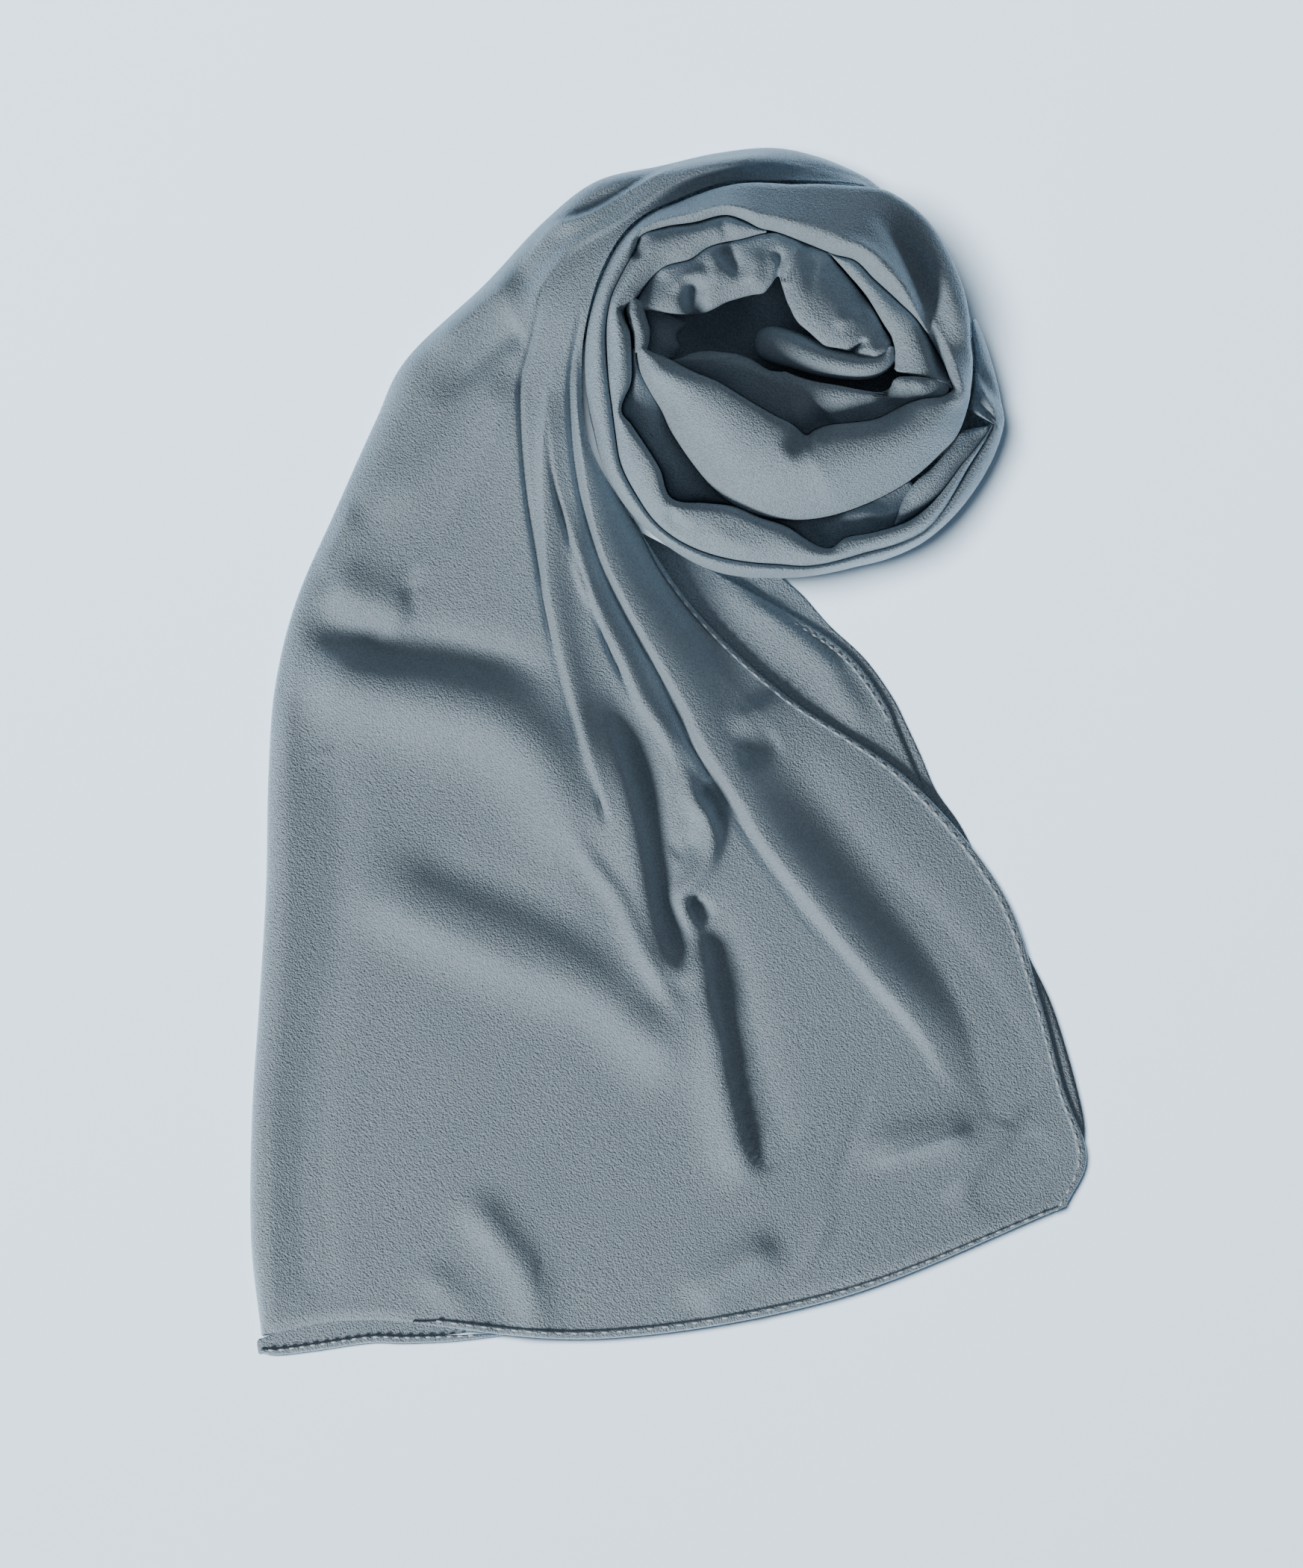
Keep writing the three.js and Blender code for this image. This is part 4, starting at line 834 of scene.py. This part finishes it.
def turn_places(start, stop, outer, inner, rises, inner_foot=True, outer_foot=True, straight=None):
    """Places on a stretch of wound cloth between two borders of the coil.

    Its sides are rounded, and between the straight angles the outer one is an even slope.
    """
    angles = np.linspace(start, stop, max(12, int((stop - start) / 1.1)))
    reads = {name: track(rises["angle"], rises[name])(angles)[:, None] for name in
             ("outerZ", "crest", "crestZ", "innerZ")}
    outside = outer(angles)[:, None] - BORDER_GAP
    inside = inner(angles)[:, None] + BORDER_GAP
    width = outside - inside
    s = (1 - np.cos(np.linspace(0, math.pi, TURN_COLUMNS))) / 2
    s = (0.5 * s + 0.5 * np.linspace(0, 1, TURN_COLUMNS))[None, :]
    radii = outside - width * s
    crest = reads["crest"]
    to_crest = np.where(s < crest, s / crest, (1 - s) / (1 - crest))
    side = np.where(s < crest, reads["outerZ"], reads["innerZ"])
    shape = np.sin(to_crest * math.pi / 2)
    if straight:
        low, high = straight
        even = smooth_step(low - 20, low, angles) * smooth_step(high + 20, high, angles)
        shape = shape + (to_crest - shape) * even[:, None] * (s < crest)
    z = side + (reads["crestZ"] - side) * shape
    x, y = on_coil(angles, radii)
    z = z + fold_lift(COIL_FOLDS, x, y)
    reach = np.minimum(EDGE_ROUND, 0.3 * width)
    for share, wanted in ((s, outer_foot), (1 - s, inner_foot)):
        if wanted:
            near = np.clip(share * width / reach, 0, 1)
            z = z - reach * (1 - np.sqrt(1 - (1 - near) ** 2))
    for wanted, first in ((outer_foot, True), (inner_foot, False)):
        if not wanted:
            continue
        radius, top = (radii[:, :1], z[:, :1]) if first else (radii[:, -1:], z[:, -1:])
        wall_x, wall_y = on_coil(angles, radius)
        foot = core_top(wall_x, wall_y) + FOOT_RISE
        wall_z = foot + (top - foot) * WALL_STEPS
        wall_r = np.repeat(radius, WALL_STEPS.size, axis=1)
        if first:
            radii, z = np.hstack([wall_r, radii]), np.hstack([wall_z, z])
        else:
            radii, z = np.hstack([radii, wall_r]), np.hstack([z, wall_z[:, ::-1]])
    x, y = on_coil(angles, radii)
    return x, y, z


def rise_table(*rows):
    return table("angle outerZ crest crestZ innerZ", rows)


def spiral_outer(angles):
    """The lip, the shoulder, the outer turn and the fan beside them, one after the other."""
    return np.where(angles < 350, lip_outer(angles), outer_edge(angles - 360))


def spiral_inner(angles):
    turn = inner_edge(angles - 360)
    fan = outer_edge(angles - 720) + 0.4
    turn = turn + (fan - turn) * smooth_step(703, 705.5, angles)
    return np.where(angles < 350, lip_inner(angles), turn)


def bowl_outer(angles):
    start = np.where(angles < 200, bowl_outer_start(angles), 78)
    return np.minimum(lip_inner(angles), start)


def sleeve_inner(angles):
    share = smooth_step(154, 163, angles)
    return pouch_outer(angles) * (1 - share) + second_inner(angles) * share


TURNS = {
    "top_turn": dict(
        nodes=["lip_turn", "shoulder_turn", "outer_turn", "outer_fan_fold"],
        start=175, stop=731, outer=spiral_outer, inner=spiral_inner, straight=(365, 475),
        rises=rise_table(
            (175, 45, 0.5, 46, 45), (182, 42, 0.5, 49, 46), (190, 42, 0.6, 53, 51), (205, 41, 0.72, 56, 54.5),
            (225, 40, 0.8, 58, 56.5), (250, 38, 0.8, 59, 57.5), (275, 38, 0.8, 60, 57.5),
            (295, 40, 0.72, 60, 56), (320, 42, 0.64, 59, 54), (340, 43, 0.58, 56, 50),
            (350, 45, 0.5, 53, 49), (360, 45, 0.62, 56, 52), (375, 45, 0.74, 58, 53),
            (395, 45, 0.78, 59, 53), (410, 46, 0.77, 59.5, 52), (422, 48, 0.74, 59.5, 52),
            (435, 48, 0.7, 59, 51), (455, 48, 0.66, 58, 50), (470, 43, 0.62, 54, 48),
            (486, 37, 0.6, 49, 46), (500, 35, 0.64, 45, 43), (540, 31, 0.7, 40, 38.5),
            (570, 27, 0.7, 36.5, 35.5), (600, 23, 0.7, 33, 32), (630, 21, 0.7, 31, 30),
            (680, 20, 0.7, 29, 28), (706, 20, 0.7, 27, 26), (720, 22, 0.7, 28, 27), (731, 24, 0.7, 28, 27),
        ),
    ),
    "second_turn_cloth": dict(
        nodes=["sleeve_fold", "second_turn"],
        start=92.8, stop=343, outer=inner_edge, inner=sleeve_inner,
        rises=rise_table(
            (93, 46, 0.4, 47, 46), (102, 45, 0.4, 48.5, 45), (130, 42, 0.45, 48, 43), (150, 41, 0.45, 46, 42),
            (163, 42, 0.5, 46, 42), (172, 42, 0.5, 46.5, 43), (184, 40, 0.6, 45.5, 43),
            (200, 38, 0.6, 43.5, 41),
            (220, 37, 0.7, 45, 42), (245, 35, 0.75, 44, 41), (265, 33, 0.75, 42, 39), (286, 32, 0.5, 37, 35),
            (310, 31, 0.6, 36, 34), (334, 30, 0.5, 33, 32), (343, 26, 0.5, 28, 27),
        ),
    ),
    "third_turn_cloth": dict(
        nodes=["third_turn"],
        start=176, stop=262, outer=second_inner, inner=lip_outer, inner_foot=False,
        rises=rise_table(
            (176, 38, 0.5, 41, 40), (210, 31, 0.5, 35, 33), (240, 23, 0.5, 27, 26), (262, 21, 0.5, 23, 23),
        ),
    ),
    "gap_layer_cloth": dict(
        nodes=["gap_layer"],
        start=250, stop=318, outer=second_inner, inner=lip_outer, inner_foot=False, outer_foot=False,
        rises=rise_table((250, 22, 0.5, 23, 22), (286, 22, 0.5, 24, 23), (318, 22, 0.5, 24, 23)),
    ),
    "gap_pleat_cloth": dict(
        nodes=["gap_pleat"],
        start=306.3, stop=342.4, outer=second_inner, inner=gap_pleat_inner,
        rises=rise_table(
            (306, 24, 0.5, 26, 25), (312, 24, 0.5, 30, 28), (322, 27, 0.5, 33, 31), (333, 27, 0.5, 32, 30),
            (342, 26, 0.5, 28, 27),
        ),
    ),
    "middle_band_cloth": dict(
        nodes=["middle_band"],
        start=-9.4, stop=62.3, outer=inner_edge, inner=band_inner,
        rises=rise_table(
            (-9.4, 46, 0.5, 47, 46), (-4, 43, 0.5, 48, 44), (10, 46, 0.5, 50, 46), (30, 48, 0.5, 51, 48),
            (62, 47, 0.5, 49, 48),
        ),
    ),
    "pouch_fold_cloth": dict(
        nodes=["pouch_fold"],
        start=-1.8, stop=159.6, outer=lambda a: np.minimum(pouch_outer(a), inner_edge(a)), inner=pouch_inner,
        rises=rise_table(
            (-2, 42, 0.5, 44, 42), (6, 42, 0.55, 47, 44.5), (30, 42, 0.7, 49, 46.5), (60, 43, 0.7, 50, 47.5),
            (86, 44, 0.5, 47, 45), (105, 42, 0.6, 46, 42), (130, 40, 0.6, 44, 40), (150, 39, 0.5, 43, 40),
            (159, 40, 0.5, 41, 40),
        ),
    ),
    "bowl_layer_cloth": dict(
        nodes=["bowl_layer"],
        start=173.2, stop=352.8, outer=bowl_outer, inner=bowl_inner, outer_foot=False,
        rises=rise_table(
            (173, 37, 0.5, 40, 38), (180, 37, 0.6, 43, 39), (200, 38, 0.7, 44, 40), (225, 40, 0.75, 45, 41),
            (250, 41, 0.75, 46, 42), (290, 43, 0.7, 47.5, 44), (320, 43, 0.6, 47, 44), (335, 44, 0.5, 48, 45),
            (345, 45, 0.5, 48.5, 46), (353, 46, 0.5, 48, 47),
        ),
    ),
    "inner_left_fold_cloth": dict(
        nodes=["inner_left_fold"],
        start=156.4, stop=177.6, outer=lambda a: second_inner(a) - 1, inner=left_inner,
        rises=rise_table((156, 41, 0.5, 42, 41), (164, 41, 0.5, 45, 42), (177, 42, 0.5, 46, 44)),
    ),
    "inner_left_under_cloth": dict(
        nodes=["inner_left_fold"],
        start=157, stop=180, outer=lambda a: left_inner(a) + 1, inner=lambda a: 42 + 1.2 * np.cos(a / 2.4),
        rises=rise_table((157, 26, 0.3, 28, 24), (168, 30, 0.4, 32, 28), (180, 29, 0.3, 31, 27)),
    ),
}


class SCARF_OT_coil_turns(bpy.types.Operator):
    """Every wound stretch of the coil"""

    bl_idname = "scarf.coil_turns"
    bl_label = "Turns of the coil"

    def execute(self, context):
        cloth = context.scene.scarf_cloth
        for name, turn in TURNS.items():
            shape = {key: value for key, value in turn.items() if key != "nodes"}
            x, y, z = turn_places(**shape)
            piece = grid_object(name, x, y, z, cloth.thickness)
            finish_piece(piece, cloth_material(), turn["nodes"])
        return {"FINISHED"}


ROLL = table(
    "x y width top",
    [
        [38, 180, 2.4, 28],
        [40.5, 179, 6, 34],
        [45, 177.2, 7.8, 39],
        [55, 174.2, 8, 44],
        [66, 170.4, 7.4, 47],
        [79.5, 167.6, 6.4, 48],
        [88.5, 167.8, 5.6, 48],
        [94.6, 171, 4.4, 46],
        [97, 176, 2.4, 45],
    ],
)


# The hidden layers' side: its height, and how many layers of cloth show on it.
CORE_SIDE, SIDE_LAYERS = 13.1, 3


class SCARF_OT_coil_heart(bpy.types.Operator):
    """The roll at the heart of the coil and the hidden layers below the turns"""

    bl_idname = "scarf.coil_heart"
    bl_label = "Heart of the coil"

    def execute(self, context):
        cloth = context.scene.scarf_cloth
        at = np.arange(len(ROLL["x"]), dtype=float)
        along = np.linspace(0, at[-1], 100)
        x, y, width, top = (track(at, ROLL[name])(along)[:, None] for name in ("x", "y", "width", "top"))
        ahead = np.stack([np.gradient(x[:, 0]), np.gradient(y[:, 0])], axis=1)
        ahead /= np.linalg.norm(ahead, axis=1)[:, None]
        turn = np.linspace(0, math.pi, 30)[None, :]
        foot = core_top(x, y) + FOOT_RISE
        grid_x = x - ahead[:, 1:] * width * np.cos(turn)
        grid_y = y + ahead[:, :1] * width * np.cos(turn)
        grid_z = foot + (top - foot) * np.sin(turn) ** 0.45
        roll = grid_object("inner_roll_cloth", grid_x, grid_y, grid_z, cloth.thickness)
        finish_piece(roll, cloth_material(), ["inner_roll"])

        angles = np.linspace(0, 360, 181)[:-1]
        shares = np.array([0, 0.05, 0.12, 0.2, 0.28, 0.36, 0.45, 0.55, 0.65, 0.75, 0.85, 0.93])[None, :]
        edge = core_edge(angles)[:, None]
        edge_x, edge_y = on_coil(angles, edge - 2.4)
        top_x = HOLLOW_X + (edge_x - HOLLOW_X) * shares
        top_y = HOLLOW_Y + (edge_y - HOLLOW_Y) * shares
        top_z = core_top(top_x, top_y)
        drop = np.linspace(0, 1, 40)[None, :]
        ripple = 0.9 + 0.9 * np.cos(drop * SIDE_LAYERS * 2 * math.pi) + 0.8 * (1 - drop) ** 3
        side_x, side_y = on_coil(angles, edge - 0.2 - ripple)
        side_z = CORE_SIDE * (1 - drop) + np.zeros(side_x.shape)
        core = grid_object(
            "hidden_layers_cloth",
            np.hstack([top_x, side_x]), np.hstack([top_y, side_y]), np.hstack([top_z, side_z]),
            cloth.thickness, closed=True,
        )
        finish_piece(core, cloth_material(), ["hidden_layers"])
        return {"FINISHED"}


# Hems and stitches


# A hem's width, the height of its rounding, its gap above the leaf and its cloth's thickness.
HEM_WIDTH = 3.2
HEM_HEIGHT = 0.9
HEM_LIFT = 0.15
HEM_THICKNESS = 0.5
# The side hem ends at this station, and narrows beyond this share of its way. The end hem lies
# across the leaf's first station, which is this many mm long.
SIDE_HEM_TOP = 8.1
HEM_NARROWS = 0.92
END_STATION = 42
# The heights of the lower leaf's two hems.
END_HEM_BASE, SIDE_HEM_BASE = 1.3, 2.2


def hem_round(sides):
    """The height of a turned hem across its width."""
    return HEM_HEIGHT * np.sqrt(1 - (2 * sides - 1) ** 4)


def strip_on_leaf(across_of, station_of):
    """A narrow turned hem along the leaf, rounded across."""
    along = np.linspace(0, 1, 420)[:, None]
    sides = np.linspace(0, 1, 9)[None, :]
    x, y, z = leaf_places(across_of(along, sides), station_of(along, sides))
    return x, y, z + hem_round(sides) + HEM_LIFT


def hem_share(stations):
    """The side hem's width as a share of the leaf's."""
    x0, y0 = guide_x[0](stations), guide_y[0](stations)
    x1, y1 = guide_x[4](stations), guide_y[4](stations)
    return HEM_WIDTH / np.hypot(x1 - x0, y1 - y0)


LOWER_END_HEM = table(
    "ax ay bx by",
    [
        [-178, -261.6, -177.4, -260.4],
        [-170, -263, -169.6, -260.2],
        [-152.6, -261, -152.4, -257.8],
        [-130.1, -257.8, -130, -254.6],
        [-115.2, -258, -115.2, -254.8],
        [-96, -257.2, -96, -254.4],
        [-84, -256, -84, -254],
        [-72, -254.4, -72, -253.8],
    ],
)
LOWER_SIDE_HEM = table(
    "ax ay bx by",
    [
        [98.2, 12, 95, 12],
        [93.8, 21.3, 90.8, 20.2],
        [81.8, 38.2, 79.4, 36],
        [66, 51.5, 64.2, 48.9],
        [40.4, 66.5, 39, 63.6],
        [23, 76, 21.6, 73],
    ],
)


class SCARF_OT_hems(bpy.types.Operator):
    """The narrow turned hems along the open edges"""

    bl_idname = "scarf.hems"
    bl_label = "Hems"

    def execute(self, context):
        x, y, z = strip_on_leaf(
            lambda t, side: 1 - (1 - side) * smooth_step(1, HEM_NARROWS, t) * hem_share(t * SIDE_HEM_TOP),
            lambda t, side: t * SIDE_HEM_TOP,
        )
        side_hem = grid_object("side_hem_upper_cloth", x, y, z, HEM_THICKNESS)
        finish_piece(side_hem, cloth_material(), ["side_hem_upper"])
        x, y, z = strip_on_leaf(
            lambda t, side: 0.36 + 0.636 * t,
            lambda t, side: side * HEM_WIDTH / END_STATION * (0.3 + 0.7 * smooth_step(0, 0.08, t)),
        )
        end_hem = grid_object("end_hem_upper_cloth", x, y, z, HEM_THICKNESS)
        finish_piece(end_hem, cloth_material(), ["end_hem_upper"])
        for name, rows, base in (
            ("end_hem_lower", LOWER_END_HEM, END_HEM_BASE),
            ("side_hem_lower", LOWER_SIDE_HEM, SIDE_HEM_BASE),
        ):
            across = np.linspace(0, 1, 9)
            along = np.linspace(0, len(rows["ax"]) - 1, 160)
            x, y = ruled_places(rows, across, along)
            z = base + hem_round(across[None, :]) + np.zeros(x.shape)
            hem = grid_object(name + "_cloth", x, y, z, HEM_THICKNESS)
            finish_piece(hem, cloth_material(), [name])
        return {"FINISHED"}


# Where the stitches lie across the upper leaf's hems and the lower leaf's, how far a stitch's
# middle lies above the leaf under its hem, and how wide and high a stitch is.
SEWN = 0.3
LOWER_SEWN = np.array([0.8])
STITCH_LIFT = 1.15
STITCH_WIDTH, STITCH_HEIGHT = 1.0, 0.7


def stitch_rows():
    """Lines of places along which the hems are sewn, each with its pitch and stitch length in mm."""
    along = np.linspace(0, 1, 600)[:, None]
    rows = []
    upward = along * SIDE_HEM_TOP * HEM_NARROWS
    x, y, z = leaf_places(1 - (1 - SEWN) * hem_share(upward), upward)
    rows.append((x, y, z, 6.2, 3.4))
    x, y, z = leaf_places(0.385 + 0.6 * along, (1 - SEWN) * HEM_WIDTH / END_STATION)
    rows.append((x, y, z, 6.6, 3.3))
    for hem, base in ((LOWER_SIDE_HEM, SIDE_HEM_BASE), (LOWER_END_HEM, END_HEM_BASE)):
        x, y = ruled_places(hem, LOWER_SEWN, np.linspace(0.3, len(hem["ax"]) - 1.6, 300))
        rows.append((x, y, base + np.zeros(x.shape), 4.6, 2.7))
    return rows


class SCARF_OT_stitches(bpy.types.Operator):
    """Every stitch along the hems, each a short raised thread"""

    bl_idname = "scarf.stitches"
    bl_label = "Stitches"

    def execute(self, context):
        bpy.ops.object.select_all(action="DESELECT")
        bpy.ops.mesh.primitive_uv_sphere_add(segments=6, ring_count=5, radius=0.5)
        stitch = context.active_object
        shape = np.array([vertex.co for vertex in stitch.data.vertices])
        faces = [tuple(face.vertices) for face in stitch.data.polygons]
        bpy.data.objects.remove(stitch)
        shape[:, 2] -= 0.5 * shape[:, 0] ** 2
        places = []
        for x, y, z, pitch, length in stitch_rows():
            line_places = np.hstack([x.reshape(-1, 1), y.reshape(-1, 1), z.reshape(-1, 1) + STITCH_LIFT])
            run = np.concatenate([[0], np.cumsum(np.linalg.norm(np.diff(line_places, axis=0), axis=1))])
            middles = np.arange(pitch / 2, run[-1] - length, pitch)
            middle, ahead = (
                np.stack([np.interp(at, run, line_places[:, k]) for k in range(3)], axis=1)
                for at in (middles, middles + 0.5)
            )
            ahead = ahead - middle
            ahead /= np.linalg.norm(ahead, axis=1)[:, None]
            across = np.cross(np.array([0, 0, 1.0]), ahead)
            across /= np.linalg.norm(across, axis=1)[:, None]
            upward = np.cross(ahead, across)
            size = shape * (length, STITCH_WIDTH, STITCH_HEIGHT)
            for m, a, c, u in zip(middle, ahead, across, upward):
                places.append(m + size[:, :1] * a + size[:, 1:2] * c + size[:, 2:] * u)
        mesh = bpy.data.meshes.new("hem_stitches")
        count = len(shape)
        all_faces = [tuple(v + i * count for v in face) for i in range(len(places)) for face in faces]
        mesh.from_pydata((np.vstack(places) * MM).tolist(), [], all_faces)
        mesh.shade_smooth()
        piece = bpy.data.objects.new("hem_stitches", mesh)
        context.collection.objects.link(piece)
        mesh.materials.append(thread_material())
        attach(piece, BODY)
        return {"FINISHED"}


# Stage


def area_light(name, place, size, power, colour, lit):
    """A round light that faces the origin and lights the given pieces only."""
    data = bpy.data.lights.new(name, "AREA")
    data.shape = "DISK"
    data.size = size
    data.energy = power
    data.color = colour
    light = bpy.data.objects.new(name, data)
    bpy.context.collection.objects.link(light)
    light.location = place
    light.rotation_euler = (-Vector(place)).to_track_quat("-Z", "Y").to_euler()
    receivers = bpy.data.collections.new("lit_by_" + name)
    for piece in lit:
        receivers.objects.link(piece)
    light.light_linking.receiver_collection = receivers


class SCARF_OT_stage(bpy.types.Operator):
    """A plain pale floor, soft light from the lower left and a camera straight above"""

    bl_idname = "scarf.stage"
    bl_label = "Floor, light and camera"

    def execute(self, context):
        stage = context.scene.scarf_stage
        bpy.ops.object.select_all(action="DESELECT")
        bpy.ops.mesh.primitive_plane_add(size=6, location=(0, 0, -0.0004))
        floor = context.active_object
        floor.name = "floor"
        material, nodes, links, shader = new_material("pale_floor")
        coordinates = nodes.new("ShaderNodeTexCoord").outputs["Object"]
        mottle = noise(nodes, links, coordinates, 3.0, 2.0, 0.5)
        tint = nodes.new("ShaderNodeValToRGB")
        tint.color_ramp.elements[0].color = (*(0.985 * c for c in stage.floor_colour), 1)
        tint.color_ramp.elements[1].color = (*stage.floor_colour, 1)
        links.new(mottle, tint.inputs["Fac"])
        links.new(tint.outputs["Color"], shader.inputs["Base Color"])
        shader.inputs["Roughness"].default_value = 0.9
        shader.inputs["Specular IOR Level"].default_value = 0.1
        floor.data.materials.append(material)

        scarf = [piece for piece in context.scene.objects if piece.type == "MESH" and piece != floor]
        area_light("key_light", (-1.6, -1.9, 1.25), 0.8, stage.key_power, (1.0, 0.99, 0.97), scarf)
        area_light("floor_light", (-0.9, 0.8, 3.2), 1.9, stage.floor_power, (0.97, 0.985, 1.0), [floor])
        world = bpy.data.worlds.new("studio")
        world.use_nodes = True
        background = world.node_tree.nodes["Background"]
        background.inputs["Color"].default_value = (0.86, 0.92, 1.0, 1)
        background.inputs["Strength"].default_value = stage.sky_strength
        context.scene.world = world

        data = bpy.data.cameras.new("camera")
        data.type = "ORTHO"
        data.ortho_scale = stage.view_height
        camera = bpy.data.objects.new("camera", data)
        context.collection.objects.link(camera)
        camera.location = (stage.view_x, stage.view_y, 3.0)
        context.scene.camera = camera
        return {"FINISHED"}


# Settings and registration


class ScarfCloth(bpy.types.PropertyGroup):
    colour: bpy.props.FloatVectorProperty(
        name="Colour", description="Colour of the georgette", subtype="COLOR", size=3,
        min=0, max=1, default=(0.41, 0.515, 0.605))
    deep_colour: bpy.props.FloatVectorProperty(
        name="Deep colour", description="Colour of its slightly darker patches", subtype="COLOR", size=3,
        min=0, max=1, default=(0.375, 0.475, 0.56))
    sheer_colour: bpy.props.FloatVectorProperty(
        name="Sheer colour", description="Colour where only one layer lies", subtype="COLOR", size=3,
        min=0, max=1, default=(0.48, 0.6, 0.7))
    roughness: bpy.props.FloatProperty(
        name="Roughness", description="Roughness of the cloth's sheen", default=0.52, min=0, max=1)
    grain_scale: bpy.props.FloatProperty(
        name="Grain scale", description="Pebbles of the crepe grain for each metre", default=1150.0, min=100)
    grain_strength: bpy.props.FloatProperty(
        name="Grain strength", description="Depth of the crepe grain", default=0.9, min=0, max=1)
    thickness: bpy.props.FloatProperty(
        name="Thickness", description="Thickness of one layer of cloth in mm", default=0.5, min=0.1, max=2)


class ScarfStage(bpy.types.PropertyGroup):
    floor_colour: bpy.props.FloatVectorProperty(
        name="Floor colour", description="Colour of the floor", subtype="COLOR", size=3,
        min=0, max=1, default=(0.6, 0.735, 0.855))
    key_power: bpy.props.FloatProperty(
        name="Key power", description="Power of the main light", unit="POWER", default=78.0, min=0)
    floor_power: bpy.props.FloatProperty(
        name="Floor power", description="Power of the floor's own light", unit="POWER", default=365.0, min=0)
    sky_strength: bpy.props.FloatProperty(
        name="Sky strength", description="Strength of the light from all round", default=0.13, min=0)
    view_height: bpy.props.FloatProperty(
        name="View height", description="Height of the camera's frame", unit="LENGTH", default=0.6825,
        min=0.1)
    view_x: bpy.props.FloatProperty(
        name="View X", description="Middle of the frame, to the right", unit="LENGTH", default=-0.0075)
    view_y: bpy.props.FloatProperty(
        name="View Y", description="Middle of the frame, up", unit="LENGTH", default=-0.0145)


class SCARF_PT_panel(bpy.types.Panel):
    """The scarf's sizes, colours and pieces"""

    bl_idname = "SCARF_PT_panel"
    bl_label = "Georgette scarf"
    bl_space_type = "VIEW_3D"
    bl_region_type = "UI"
    bl_category = "Scarf"

    def draw(self, context):
        for group in (context.scene.scarf_cloth, context.scene.scarf_stage):
            box = self.layout.box()
            for name in group.__annotations__:
                box.prop(group, name)
        for operator in OPERATORS:
            self.layout.operator(operator.bl_idname)


OPERATORS = (
    SCARF_OT_hems,
    SCARF_OT_upper_leaf,
    SCARF_OT_lower_layers,
    SCARF_OT_coil_turns,
    SCARF_OT_coil_heart,
    SCARF_OT_stitches,
    SCARF_OT_stage,
)
CLASSES = (ScarfCloth, ScarfStage, *OPERATORS, SCARF_PT_panel)


def register():
    for cls in CLASSES:
        bpy.utils.register_class(cls)
    bpy.types.Scene.scarf_cloth = bpy.props.PointerProperty(type=ScarfCloth)
    bpy.types.Scene.scarf_stage = bpy.props.PointerProperty(type=ScarfStage)


def unregister():
    del bpy.types.Scene.scarf_stage
    del bpy.types.Scene.scarf_cloth
    for cls in reversed(CLASSES):
        bpy.utils.unregister_class(cls)


def main():
    register()
    for operator in OPERATORS:
        group, name = operator.bl_idname.split(".")
        getattr(getattr(bpy.ops, group), name)()


if __name__ == "__main__":
    main()
